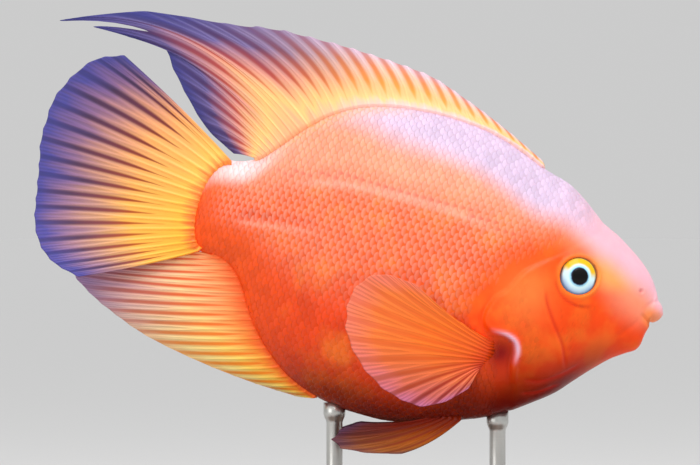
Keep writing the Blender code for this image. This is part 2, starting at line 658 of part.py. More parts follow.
def build():
    """Makes every part of the fish and its stand."""
    clear_scene()
    parts = new_collection("blood_parrot_cichlid")
    shapers = new_collection("shapers")
    fish = bpy.data.objects.new("fish_frame", None)
    parts.objects.link(fish)
    fish.location = TAIL_ROOT_AT
    fish.rotation_euler = (0, NOSE_DOWN, 0)
    flesh = material("flesh", FLESH, 0.4)
    face = material("face", FACE, 0.35)
    fin = material("fin", FIN, 0.35)
    iris = material("iris", IRIS, 0.1)
    steel = material("steel", STEEL, 0.3, 1.0)
    walnut = material("walnut", WALNUT, 0.4)

    mould = as_helper(body_form("mould", shapers, fish, grow=GAP))
    core = as_helper(body_form("core", shapers, fish, grow=-GILL_COVER_THICKNESS, gills=True))
    inner = as_helper(body_form("inner", shapers, fish, grow=-GILL_COVER_THICKNESS - GAP, gills=True))

    ahead_of_edge = HEAD_EDGE + [(170, -60), (170, 60)]
    head_block = as_helper(side_prism("head_block", ahead_of_edge, shapers, fish))
    head_clear = as_helper(
        side_prism("head_clear", grown_outline(ahead_of_edge, GAP), shapers, fish)
    )
    jaw_block = as_helper(side_prism("jaw_block", JAW_EDGE, shapers, fish))
    jaw_clear = as_helper(side_prism("jaw_clear", grown_outline(JAW_EDGE, GAP), shapers, fish))
    cover_outline = GILL_COVER_FRONT + GILL_COVER_REAR
    cover_block = as_helper(side_prism("cover_block", cover_outline, shapers, fish))
    cover_clear = side_prism("cover_clear", grown_outline(cover_outline, GAP), shapers, fish)
    boolean(as_helper(cover_clear), "DIFFERENCE", inner)
    stalk_outline = [(STALK_FRONT, 60), (STALK_FRONT, -60), (-20, -60), (-20, 60)]
    stalk_block = as_helper(side_prism("stalk_block", stalk_outline, shapers, fish))
    stalk_clear = as_helper(
        side_prism("stalk_clear", grown_outline(stalk_outline, GAP), shapers, fish)
    )

    trunk = body_form("trunk", shapers, fish)
    boolean(trunk, "DIFFERENCE", head_clear)
    boolean(trunk, "DIFFERENCE", stalk_clear)
    finish_part(trunk, parts, flesh)
    stalk = body_form("tail_stalk", shapers, fish)
    boolean(stalk, "INTERSECT", stalk_block)
    finish_part(stalk, parts, flesh)

    jaw = body_form("lower_jaw", shapers, fish, gills=True)
    boolean(jaw, "INTERSECT", jaw_block)
    rolls = [lip_roll("lower_lip", LOWER_LIP, LIP_RADIUS, shapers, fish)]
    rolls.append(lip_roll("chin", CHIN, CHIN_RADIUS, shapers, fish))
    union_of(jaw, rolls)
    finish_part(jaw, parts, face)
    head = body_form("head", shapers, fish, gills=True)
    boolean(head, "INTERSECT", head_block)
    boolean(head, "DIFFERENCE", jaw_clear)
    raised = [lip_roll("upper_lip", UPPER_LIP, LIP_RADIUS, shapers, fish)]
    raised += [eye_rim(f"rim{side}", side, shapers, fish) for side in (-1, 1)]
    union_of(head, raised)
    boolean(head, "DIFFERENCE", cover_clear)

    for side, word in ((-1, "right"), (1, "left")):
        socket = as_helper(eyeball(f"socket_{word}", side, shapers, fish, grow=GAP))
        boolean(head, "DIFFERENCE", socket)
        nostril = as_helper(nostril_pit(f"nostril_{word}", side, shapers, fish))
        boolean(head, "DIFFERENCE", nostril)
        finish_part(eyeball(f"eye_{word}", side, shapers, fish), parts, iris)
        cover = body_form(f"gill_cover_{word}", shapers, fish, gills=True)
        boolean(cover, "INTERSECT", cover_block)
        boolean(cover, "DIFFERENCE", core)
        half = [(-20, -200), (200, -200), (200, 200), (-20, 200)]
        halves = side_prism(f"half_{word}", half, shapers, fish, depth=30.0)
        halves.location = (0, -side * 32 * MM, 0)
        boolean(cover, "DIFFERENCE", as_helper(halves))
        finish_part(cover, parts, face)
    finish_part(head, parts, face)

    streamer_outline = [(STREAMER_FRONT, 90), (STREAMER_FRONT, 30), (-80, 30), (-80, 90)]
    streamer_block = as_helper(side_prism("streamer_block", streamer_outline, shapers, fish))
    streamer_clear = as_helper(
        side_prism("streamer_clear", grown_outline(streamer_outline, GAP), shapers, fish)
    )
    middle_fins = (
        ("dorsal_fin", DORSAL_RAYS, DORSAL_COUNT, 9, 1.6, middle_fin(DORSAL_SWAY, 1.5)),
        ("tail_fin", TAIL_RAYS, TAIL_COUNT, 8, 3.4, middle_fin(TAIL_SWAY, 2.0)),
        ("anal_fin", ANAL_RAYS, ANAL_COUNT, 8, 2.0, middle_fin(ANAL_SWAY, 1.5)),
    )
    for name, rays, count, rows, thickness, place_y in middle_fins:
        made = fin_form(name, rays, count, rows, thickness, place_y, shapers, fish)
        boolean(made, "DIFFERENCE", mould)
        if name == "dorsal_fin":
            streamer = bpy.data.objects.new("dorsal_streamer", made.data.copy())
            streamer.parent = fish
            shapers.objects.link(streamer)
            boolean(streamer, "INTERSECT", streamer_block)
            finish_part(streamer, parts, fin)
            boolean(made, "DIFFERENCE", streamer_clear)
        finish_part(made, parts, fin)
    for side, word in ((-1, "right"), (1, "left")):
        pectoral = fin_form(
            f"pectoral_fin_{word}", PECTORAL_RAYS, PECTORAL_COUNT, 8, 0.8,
            paired_fin(side, None, PECTORAL_FLARE), shapers, fish,
        )
        boolean(pectoral, "DIFFERENCE", mould)
        finish_part(pectoral, parts, fin)
        pelvic = fin_form(
            f"pelvic_fin_{word}", PELVIC_RAYS, PELVIC_COUNT, 8, 1.0,
            paired_fin(side, PELVIC_ROOT_Y, PELVIC_FLARE), shapers, fish,
        )
        boolean(pelvic, "DIFFERENCE", mould)
        finish_part(pelvic, parts, fin)

    rods = (("stand_rod_front", FRONT_ROD_UNDER), ("stand_rod_rear", REAR_ROD_UNDER))
    for name, under in rods:
        finish_part(rod(name, under, mould, shapers), parts, steel)
    base_form("stand_base", parts).data.materials.append(walnut)


build()
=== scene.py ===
"""Looks of the blood parrot cichlid: skin, scales, fins, eyes, display stand, light and camera.

The fish is worked out level, in millimetres, in its own frame: x forward from the tail fin's root,
y to its left, z up. FishFrame tilts it nose down and sets it over the stand, in metres.
"""

import logging
import math
from dataclasses import dataclass, field
from enum import Enum

import bpy
import numpy as np
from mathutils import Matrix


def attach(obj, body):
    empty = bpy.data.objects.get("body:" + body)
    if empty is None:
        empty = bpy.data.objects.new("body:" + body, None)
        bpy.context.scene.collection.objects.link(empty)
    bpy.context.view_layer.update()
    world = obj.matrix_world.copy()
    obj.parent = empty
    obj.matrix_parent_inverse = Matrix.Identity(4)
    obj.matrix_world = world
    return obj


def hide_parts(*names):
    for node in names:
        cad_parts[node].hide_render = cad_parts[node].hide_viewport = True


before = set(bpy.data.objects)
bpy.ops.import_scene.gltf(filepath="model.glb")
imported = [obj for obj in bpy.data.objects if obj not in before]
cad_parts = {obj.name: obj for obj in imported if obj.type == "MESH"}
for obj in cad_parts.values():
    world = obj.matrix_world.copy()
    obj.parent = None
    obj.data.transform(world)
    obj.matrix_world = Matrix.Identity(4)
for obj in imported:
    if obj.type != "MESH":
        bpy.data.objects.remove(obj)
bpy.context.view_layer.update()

LOG = logging.getLogger("blood_parrot")
MM = 0.001
BODY = "root"
BAKE_MAP = "OFBake"

Colour = tuple[int, int, int]
Point = tuple[float, float]
Array = np.ndarray


class Side(Enum):
    """A side of the fish, with the sign of its y."""

    RIGHT = -1
    LEFT = 1

    @property
    def word(self) -> str:
        """The side's name in piece names."""
        return self.name.lower()


def linear(colour: Colour) -> tuple[float, float, float, float]:
    """Screen colour to linear light: each channel over 255 to the power 2.2.

    Args:
        colour: Red, green and blue from 0 to 255.

    Returns:
        Linear red, green, blue and an alpha of 1.
    """
    return (*((channel / 255) ** 2.2 for channel in colour), 1.0)


def smooth(value: Array, low: float, high: float) -> Array:
    """Soft step from 0 at low to 1 at high: 3t² - 2t³ of the clipped share t."""
    t = np.clip((value - low) / (high - low), 0, 1)
    return t * t * (3 - 2 * t)


def bell(value: Array, width: float) -> Array:
    """Bell curve: e to the minus (value over width) squared."""
    return np.exp(-((value / width) ** 2))


def curve_through(stations: list[Point], at: Array) -> Array:
    """Smooth curve through (place, value) stations that never overshoots them.

    Between two stations it is a cubic whose slopes there are the harmonic means of the slopes of
    the chords on either side, and level where those differ in sign.

    Args:
        stations: Places in rising order with their values.
        at: Places to read, held within the stations.

    Returns:
        A value for each place.
    """
    place, value = np.array(stations, float).T
    at = np.clip(np.asarray(at, float), place[0], place[-1])
    step = np.diff(place)
    slope = np.diff(value) / step
    tangent = np.zeros(len(place))
    tangent[0], tangent[-1] = slope[0], slope[-1]
    turning = slope[:-1] * slope[1:] <= 0
    mean = 2 * slope[:-1] * slope[1:] / np.where(turning, 1.0, slope[:-1] + slope[1:])
    tangent[1:-1] = np.where(turning, 0.0, mean)
    k = np.clip(np.searchsorted(place, at, side="right") - 1, 0, len(step) - 1)
    t = (at - place[k]) / step[k]
    rise = t * t * (3 - 2 * t)
    start = t * (1 - t) ** 2 * tangent[k] * step[k]
    end = t * t * (t - 1) * tangent[k + 1] * step[k]
    return value[k] * (1 - rise) + value[k + 1] * rise + start + end


def smooth_line(points: list[Point], each: int = 6) -> Array:
    """Catmull-Rom curve through the points, with each samples between two of them."""
    p = np.array(points, float)
    p = np.vstack([2 * p[0] - p[1], p, 2 * p[-1] - p[-2]])
    t = np.linspace(0, 1, each, endpoint=False)[None, :, None]
    a, b, c, d = (p[k : len(p) - 3 + k][:, None, :] for k in range(4))
    line = 0.5 * (2 * b + (c - a) * t + (2 * a - 5 * b + 4 * c - d) * t**2
                  + (3 * b - a - 3 * c + d) * t**3)
    return np.vstack([line.reshape(-1, 2), p[-2]])


def line_distance(x: Array, z: Array, line: Array) -> tuple[Array, Array]:
    """Signed distance from a side-view line, positive on the left of its travel.

    Each point takes the nearest piece of the line, and the sign of the cross product with it.

    Args:
        x: Places forward.
        z: Heights.
        line: Points of the line, (n, 2).

    Returns:
        The signed distances, and the share of the line's length at the nearest place.
    """
    point = np.stack([x.ravel(), z.ravel()], 1)
    start, along = line[:-1], np.diff(line, axis=0)
    length = np.linalg.norm(along, axis=1)
    passed = np.concatenate([[0], np.cumsum(length)])
    best = np.full(len(point), np.inf)
    side = np.zeros(len(point))
    share = np.zeros(len(point))
    for k in range(len(start)):
        away = point - start[k]
        t = np.clip(away @ along[k] / length[k] ** 2, 0, 1)
        gap = np.linalg.norm(away - t[:, None] * along[k], axis=1)
        near = gap < best
        best = np.where(near, gap, best)
        cross = along[k, 0] * away[:, 1] - along[k, 1] * away[:, 0]
        side = np.where(near, np.sign(cross), side)
        share = np.where(near, (passed[k] + t * length[k]) / passed[-1], share)
    return (best * side).reshape(x.shape), share.reshape(x.shape)


def between(share: Array, risen: float, falling: float) -> Array:
    """Fade along a line: up from 0 at its start to 1 at risen, and down from falling to its end."""
    return smooth(share, 0, risen) * smooth(share, 1, falling)


def away_from(x: Array, z: Array, at: Point) -> Array:
    """Distance from a place in the side view."""
    return np.hypot(x - at[0], z - at[1])


def spot(x: Array, z: Array, at: Point, reach: Point) -> Array:
    """Oval spot: a bell curve of the distance forward times one of the height."""
    return bell(x - at[0], reach[0]) * bell(z - at[1], reach[1])


@dataclass
class Net:
    """Faces on a grid: corner indices and the corners' places on the flat map."""

    quads: Array
    quad_map: Array
    triangles: Array = field(default_factory=lambda: np.zeros((0, 3), int))
    triangle_map: Array = field(default_factory=lambda: np.zeros((0, 3, 2)))

    def flipped(self) -> "Net":
        """The same faces with their other side out."""
        return Net(self.quads[:, ::-1], self.quad_map[:, ::-1],
                   self.triangles[:, ::-1], self.triangle_map[:, ::-1])

    def volume(self, points: Array) -> float:
        """Signed volume inside the faces: a sixth of the sum of each triangle's triple product."""
        corners = np.vstack([self.quads[:, :3], self.quads[:, [0, 2, 3]], self.triangles])
        a, b, c = (points[corners[:, k]] for k in range(3))
        return float(np.sum(a * np.cross(b, c)) / 6)

    def outward(self, points: Array) -> "Net":
        """The faces turned so that their outside is out."""
        return self if self.volume(points) > 0 else self.flipped()


def ring_net(rings: int, around: int) -> Net:
    """Faces of a closed surface of rings, each with its points going round, and a pole at each end.

    Point k of ring i is number i * around + k, and the two poles come last.

    Args:
        rings: Count of rings.
        around: Points in each ring.

    Returns:
        The faces, with the flat map's u along the rings and v around them.
    """
    i, k = np.meshgrid(np.arange(rings - 1), np.arange(around), indexing="ij")
    i, k = i.ravel(), k.ravel()
    after = (k + 1) % around
    quads = np.stack([i * around + k, (i + 1) * around + k, (i + 1) * around + after,
                      i * around + after], 1)
    u, v = (i + 1) / (rings + 1), k / around
    du, dv = 1 / (rings + 1), 1 / around
    quad_map = np.stack([np.stack([u, v], 1), np.stack([u + du, v], 1),
                         np.stack([u + du, v + dv], 1), np.stack([u, v + dv], 1)], 1)
    k = np.arange(around)
    after = (k + 1) % around
    first, last, start = rings * around, rings * around + 1, (rings - 1) * around
    triangles = np.vstack([np.stack([k, after, np.full(around, first)], 1),
                           np.stack([start + after, start + k, np.full(around, last)], 1)])
    low, high = np.full(around, du), np.full(around, 1 - du)
    ends = [np.stack([np.stack([low, k * dv], 1), np.stack([low, (k + 1) * dv], 1),
                      np.stack([low * 0, (k + 0.5) * dv], 1)], 1),
            np.stack([np.stack([high, (k + 1) * dv], 1), np.stack([high, k * dv], 1),
                      np.stack([high * 0 + 1, (k + 0.5) * dv], 1)], 1)]
    return Net(quads, quad_map, triangles, np.vstack(ends))


def leaf_net(rows: int, columns: int) -> Net:
    """Faces of a thin closed leaf: a front grid and a back grid that share their outer edge.

    Front point (row, column) is number row * columns + column. The back's inner points follow in
    the same order.

    Args:
        rows: Points from root to tip.
        columns: Points across.

    Returns:
        The faces, with the front in the flat map's lower half and the back in its upper half.
    """
    front = np.arange(rows * columns).reshape(rows, columns)
    back = front.copy()
    inner = (rows - 2) * (columns - 2)
    back[1:-1, 1:-1] = rows * columns + np.arange(inner).reshape(rows - 2, columns - 2)
    faces = [np.stack([g[:-1, :-1], g[1:, :-1], g[1:, 1:], g[:-1, 1:]], -1).reshape(-1, 4)
             for g in (front, back[:, ::-1])]
    r, c = np.meshgrid(np.linspace(0, 1, rows), np.linspace(0, 1, columns), indexing="ij")
    maps = []
    for place in (np.stack([c, r * 0.5], -1), np.stack([c, 0.5 + r * 0.5], -1)[:, ::-1]):
        corners = [place[:-1, :-1], place[1:, :-1], place[1:, 1:], place[:-1, 1:]]
        maps.append(np.stack(corners, -2).reshape(-1, 4, 2))
    return Net(np.vstack(faces), np.vstack(maps))


def front_and_back(front: Array, back: Array) -> Array:
    """Values of a leaf's front grid and then of its back's inner points, in leaf_net's order."""
    each = front.shape[2:]
    return np.concatenate([front.reshape(-1, *each), back[1:-1, 1:-1].reshape(-1, *each)])


def make_piece(name: str, points: Array, net: Net, replaces: tuple[str, ...] = (),
               numbers: dict[str, Array] | None = None) -> bpy.types.Object:
    """Puts a worked-out surface into a mesh piece that rides on the body.

    Args:
        name: The piece's name.
        points: Places in metres, (n, 3).
        net: Its faces.
        replaces: CAD nodes that it stands for.
        numbers: Named values for each point, (n,) for a number or (n, 4) for four.

    Returns:
        The new object, at the origin.
    """
    mesh = bpy.data.meshes.new(name)
    mesh.vertices.add(len(points))
    mesh.vertices.foreach_set("co", points.astype(np.float32).ravel())
    corners = np.concatenate([net.quads.ravel(), net.triangles.ravel()])
    sizes = np.concatenate([np.full(len(net.quads), 4), np.full(len(net.triangles), 3)])
    mesh.loops.add(len(corners))
    mesh.loops.foreach_set("vertex_index", corners.astype(np.int32))
    mesh.polygons.add(len(sizes))
    starts = np.concatenate([[0], np.cumsum(sizes)[:-1]])
    mesh.polygons.foreach_set("loop_start", starts.astype(np.int32))
    mesh.update(calc_edges=True)
    flat = np.vstack([net.quad_map.reshape(-1, 2), net.triangle_map.reshape(-1, 2)])
    layer = mesh.uv_layers.new(name=BAKE_MAP)
    layer.uv.foreach_set("vector", flat.astype(np.float32).ravel())
    for label, values in (numbers or {}).items():
        kind, key = ("FLOAT", "value") if values.ndim == 1 else ("FLOAT_COLOR", "color")
        made = mesh.attributes.new(label, kind, "POINT")
        made.data.foreach_set(key, values.astype(np.float32).ravel())
    mesh.shade_smooth()
    piece = bpy.data.objects.new(name, mesh)
    bpy.context.scene.collection.objects.link(piece)
    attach(piece, BODY)
    if replaces:
        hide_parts(*replaces)
    triangles = 2 * len(net.quads) + len(net.triangles)
    LOG.info("%s: %d triangles", name, triangles)
    return piece


class Graph:
    """A material's node tree, with one method for each kind of node that the finishes use."""

    def __init__(self, name: str) -> None:
        """Starts a material with a lone Principled shader.

        Args:
            name: The material's name.
        """
        self.material = bpy.data.materials.new(name)
        self.material.use_nodes = True
        self.nodes = self.material.node_tree.nodes
        self.links = self.material.node_tree.links
        self.shader = self.nodes["Principled BSDF"]

    def put(self, socket: bpy.types.NodeSocket, value: object) -> None:
        """Links an output to a socket, or sets the socket's own value."""
        if isinstance(value, bpy.types.NodeSocket):
            self.links.new(value, socket)
        else:
            socket.default_value = value

    def shade(self, **values: object) -> None:
        """Sets the shader's sockets by name, with _ for a space."""
        for name, value in values.items():
            self.put(self.shader.inputs[name.replace("_", " ")], value)

    def place(self) -> bpy.types.NodeSocket:
        """The object's own coordinates."""
        return self.nodes.new("ShaderNodeTexCoord").outputs["Object"]

    def mapped(self, scale: tuple[float, float, float],
               turn: tuple[float, float, float] = (0, 0, 0)) -> bpy.types.NodeSocket:
        """The object's own coordinates, turned and scaled."""
        node = self.nodes.new("ShaderNodeMapping")
        node.inputs["Scale"].default_value = scale
        node.inputs["Rotation"].default_value = turn
        self.links.new(self.place(), node.inputs["Vector"])
        return node.outputs["Vector"]

    def number(self, name: str) -> bpy.types.NodeSocket:
        """A named value of the mesh."""
        node = self.nodes.new("ShaderNodeAttribute")
        node.attribute_name = name
        return node.outputs["Fac"]

    def four(self, name: str) -> list[bpy.types.NodeSocket]:
        """Four named values of the mesh that are kept together."""
        node = self.nodes.new("ShaderNodeAttribute")
        node.attribute_name = name
        parts = self.nodes.new("ShaderNodeSeparateColor")
        self.links.new(node.outputs["Color"], parts.inputs["Color"])
        return [*parts.outputs[:3], node.outputs["Alpha"]]

    def noise(self, scale: float, detail: float = 2.0,
              vector: bpy.types.NodeSocket | None = None) -> bpy.types.NodeSocket:
        """Noise from 0 to 1, most of it near a half."""
        node = self.nodes.new("ShaderNodeTexNoise")
        node.inputs["Scale"].default_value = scale
        node.inputs["Detail"].default_value = detail
        self.links.new(vector or self.place(), node.inputs["Vector"])
        return node.outputs["Fac"]

    def vector(self, *values: object) -> bpy.types.NodeSocket:
        """A vector put together from its numbers."""
        node = self.nodes.new("ShaderNodeCombineXYZ")
        for socket, value in zip(node.inputs, values):
            self.put(socket, value)
        return node.outputs["Vector"]

    def maths(self, operation: str, *values: object) -> bpy.types.NodeSocket:
        """One step of arithmetic."""
        node = self.nodes.new("ShaderNodeMath")
        node.operation = operation
        for socket, value in zip(node.inputs, values):
            self.put(socket, value)
        return node.outputs["Value"]

    def times(self, first: object, second: object) -> bpy.types.NodeSocket:
        """One value times another."""
        return self.maths("MULTIPLY", first, second)

    def spread(self, value: bpy.types.NodeSocket, low: float, high: float) -> bpy.types.NodeSocket:
        """A value from 0 to 1 spread from low to high."""
        return self.maths("MULTIPLY_ADD", value, high - low, low)

    def clipped(self, value: bpy.types.NodeSocket, low: float,
                high: float) -> bpy.types.NodeSocket:
        """A soft step from 0 at low to 1 at high."""
        node = self.nodes.new("ShaderNodeMapRange")
        node.interpolation_type = "SMOOTHSTEP"
        node.inputs["From Min"].default_value = low
        node.inputs["From Max"].default_value = high
        self.links.new(value, node.inputs["Value"])
        return node.outputs["Result"]

    def mix(self, share: object, first: object, second: object,
            how: str = "MIX") -> bpy.types.NodeSocket:
        """Mixes two colours."""
        node = self.nodes.new("ShaderNodeMix")
        node.data_type = "RGBA"
        node.blend_type = how
        for socket, value in zip((node.inputs[0], node.inputs[6], node.inputs[7]),
                                 (share, first, second)):
            self.put(socket, value)
        return node.outputs[2]

    def tinted(self, colour: object, factor: bpy.types.NodeSocket) -> bpy.types.NodeSocket:
        """A colour times a factor for each place."""
        return self.mix(1.0, colour, factor, "MULTIPLY")

    def ramp(self, value: bpy.types.NodeSocket,
             stops: list[tuple[float, Colour]]) -> bpy.types.NodeSocket:
        """Colours read along a value."""
        node = self.nodes.new("ShaderNodeValToRGB")
        ends = node.color_ramp.elements
        while len(ends) < len(stops):
            ends.new(0.5)
        for end, (place, colour) in zip(ends, stops):
            end.position = place
            end.color = linear(colour)
        self.links.new(value, node.inputs["Fac"])
        return node.outputs["Color"]

    def bump(self, height: bpy.types.NodeSocket, depth: float,
             strength: float = 1.0) -> bpy.types.NodeSocket:
        """A normal from a height, whose full range is depth metres."""
        node = self.nodes.new("ShaderNodeBump")
        node.inputs["Strength"].default_value = strength
        node.inputs["Distance"].default_value = depth
        self.links.new(height, node.inputs["Height"])
        return node.outputs["Normal"]


@dataclass(frozen=True)
class FishFrame:
    """Where the level fish is held over the stand."""

    nose_down: float = math.radians(15)
    tail_root: tuple[float, float, float] = (-63.5, 0.0, 97.0)

    def turn(self, directions: Array) -> Array:
        """Directions of the level fish turned to the pose: a turn about y, nose down."""
        c, s = math.cos(self.nose_down), math.sin(self.nose_down)
        x, y, z = directions[..., 0], directions[..., 1], directions[..., 2]
        return np.stack([x * c + z * s, y, z * c - x * s], -1)

    def world(self, points: Array) -> Array:
        """Points of the level fish, in millimetres, as world points in metres."""
        return (self.turn(points) + np.array(self.tail_root)) * MM


@dataclass
class BodyForm:
    """The body's outer form: a loft whose sections are unlike ovals.

    A section at x goes from belly to back. Its height from the widest line is the reach times the
    sine of the angle, and its width is the half width times the cosine to the power of the keel.
    """

    back: list[Point] = field(default_factory=lambda: [
        (-3.5, 3.0), (-2.6, 10.5), (-1.2, 14.6), (0.5, 16.6), (3, 17.7), (7, 18.4), (12, 20.6),
        (18, 27.0), (24, 34.0), (30, 39.6), (37, 43.9), (45, 46.7), (55, 48.3), (65, 48.8),
        (75, 48.2), (85, 46.2), (93, 43.2), (100, 40.3), (107, 38.3), (113, 35.0), (118, 31.3),
        (122, 28.3), (126, 26.4), (131, 23.4), (136, 19.9), (140, 16.0), (142.4, 12.4),
        (143.5, 10.3), (144.5, 9.2), (145.4, 8.0), (146, 6.3)])
    belly: list[Point] = field(default_factory=lambda: [
        (-3.5, 2.0), (-2.6, -7.0), (-1, -10.6), (1, -12.0), (4, -12.4), (8, -12.9), (13, -14.9),
        (18, -20.6), (22, -27.4), (27, -33.6), (32, -38.2), (38, -42.4), (45, -45.4),
        (52, -47.2), (60, -48.2), (68, -48.3), (76, -47.4), (84, -45.4), (93, -42.2),
        (100, -39.6), (107, -35.6), (113, -31.3), (120, -25.8), (124, -21.4), (129, -16.0),
        (134, -11.2), (138, -8.4), (140.6, -6.7), (141.7, -4.8), (142.1, -2.0), (142.4, 0.8),
        (142.9, 2.5), (144.2, 3.4), (145.4, 4.6), (146, 6.1)])
    half_width: list[Point] = field(default_factory=lambda: [
        (-3.5, 0.6), (-2, 2.4), (0, 3.6), (6, 5.2), (12, 7.0), (20, 10.2), (30, 13.8),
        (40, 17.0), (52, 20.0), (64, 21.8), (76, 22.4), (88, 22.0), (98, 21.2), (106, 20.2),
        (113, 18.6), (120, 16.2), (127, 13.0), (133, 9.8), (138, 7.2), (141.5, 5.2),
        (144, 3.4), (145.4, 1.9), (146, 0.7)])
    back_keel: list[Point] = field(default_factory=lambda: [
        (-3.5, 1.1), (20, 1.3), (85, 1.3), (112, 1.05), (146, 1.0)])
    belly_keel: list[Point] = field(default_factory=lambda: [
        (-3.5, 1.1), (25, 1.25), (50, 1.05), (70, 0.92), (100, 0.95), (146, 1.0)])
    tail: float = -3.5
    nose: float = 146.0

    def section(self, x: Array) -> tuple[Array, Array, Array]:
        """Top, bottom and half width at x."""
        return (curve_through(self.back, x), curve_through(self.belly, x),
                curve_through(self.half_width, x))

    def keel(self, x: Array, above: Array) -> Array:
        """The section's keel exponent, above or below its widest line."""
        return np.where(above, curve_through(self.back_keel, x),
                        curve_through(self.belly_keel, x))

    def point(self, x: Array, angle: Array) -> Array:
        """Surface points at x and an angle: 0 on the right flank, a quarter turn on the back."""
        top, bottom, half = self.section(x)
        sine, cosine = np.sin(angle), np.cos(angle)
        keel = self.keel(x, sine > 0)
        y = -half * np.sign(cosine) * np.abs(cosine) ** keel
        z = (top + bottom) / 2 + (top - bottom) / 2 * sine
        return np.stack([x, y, z], -1)

    def level(self, x: Array, y: Array, z: Array) -> Array:
        """0 on the surface, more outside: (|y| over half)^(2/keel) + (height over reach)² - 1."""
        top, bottom, half = self.section(x)
        middle, reach = (top + bottom) / 2, (top - bottom) / 2
        keel = self.keel(x, z > middle)
        return (np.abs(y) / half) ** (2 / keel) + ((z - middle) / reach) ** 2 - 1

    def normal(self, points: Array) -> Array:
        """Unit normals, from the differences of level over a small step each way."""
        x, y, z = points[..., 0], points[..., 1], points[..., 2]
        e = 0.05
        slope = np.stack([self.level(x + e, y, z) - self.level(x - e, y, z),
                          self.level(x, y + e, z) - self.level(x, y - e, z),
                          self.level(x, y, z + e) - self.level(x, y, z - e)], -1)
        return slope / np.maximum(np.linalg.norm(slope, axis=-1, keepdims=True), 1e-9)

    def flank(self, x: float, z: float) -> float:
        """Distance of the surface from the middle plane at a side-view place."""
        top, bottom, half = (float(v) for v in self.section(np.array(x)))
        share = min(abs(2 * z - top - bottom) / (top - bottom), 1.0)
        keel = float(self.keel(np.array(x), np.array(2 * z > top + bottom)))
        return half * math.sqrt(1 - share**2) ** keel


@dataclass
class EyeSeat:
    """Where the eyes sit and which way they look."""

    body: BodyForm
    at: Point = (117.2, 10.8)
    radius: float = 5.8
    sideways: float = 0.6

    def direction(self, side: Side) -> Array:
        """The skin's normal there, turned part of the way towards the side."""
        x, z = self.at
        y = side.value * self.body.flank(x, z)
        n = self.body.normal(np.array([x, y, z])) + np.array([0, side.value * self.sideways, 0])
        return n / np.linalg.norm(n)

    def centre(self, side: Side) -> Array:
        """The middle of the eye's seat, on the skin."""
        x, z = self.at
        return np.array([x, side.value * self.body.flank(x, z), z])


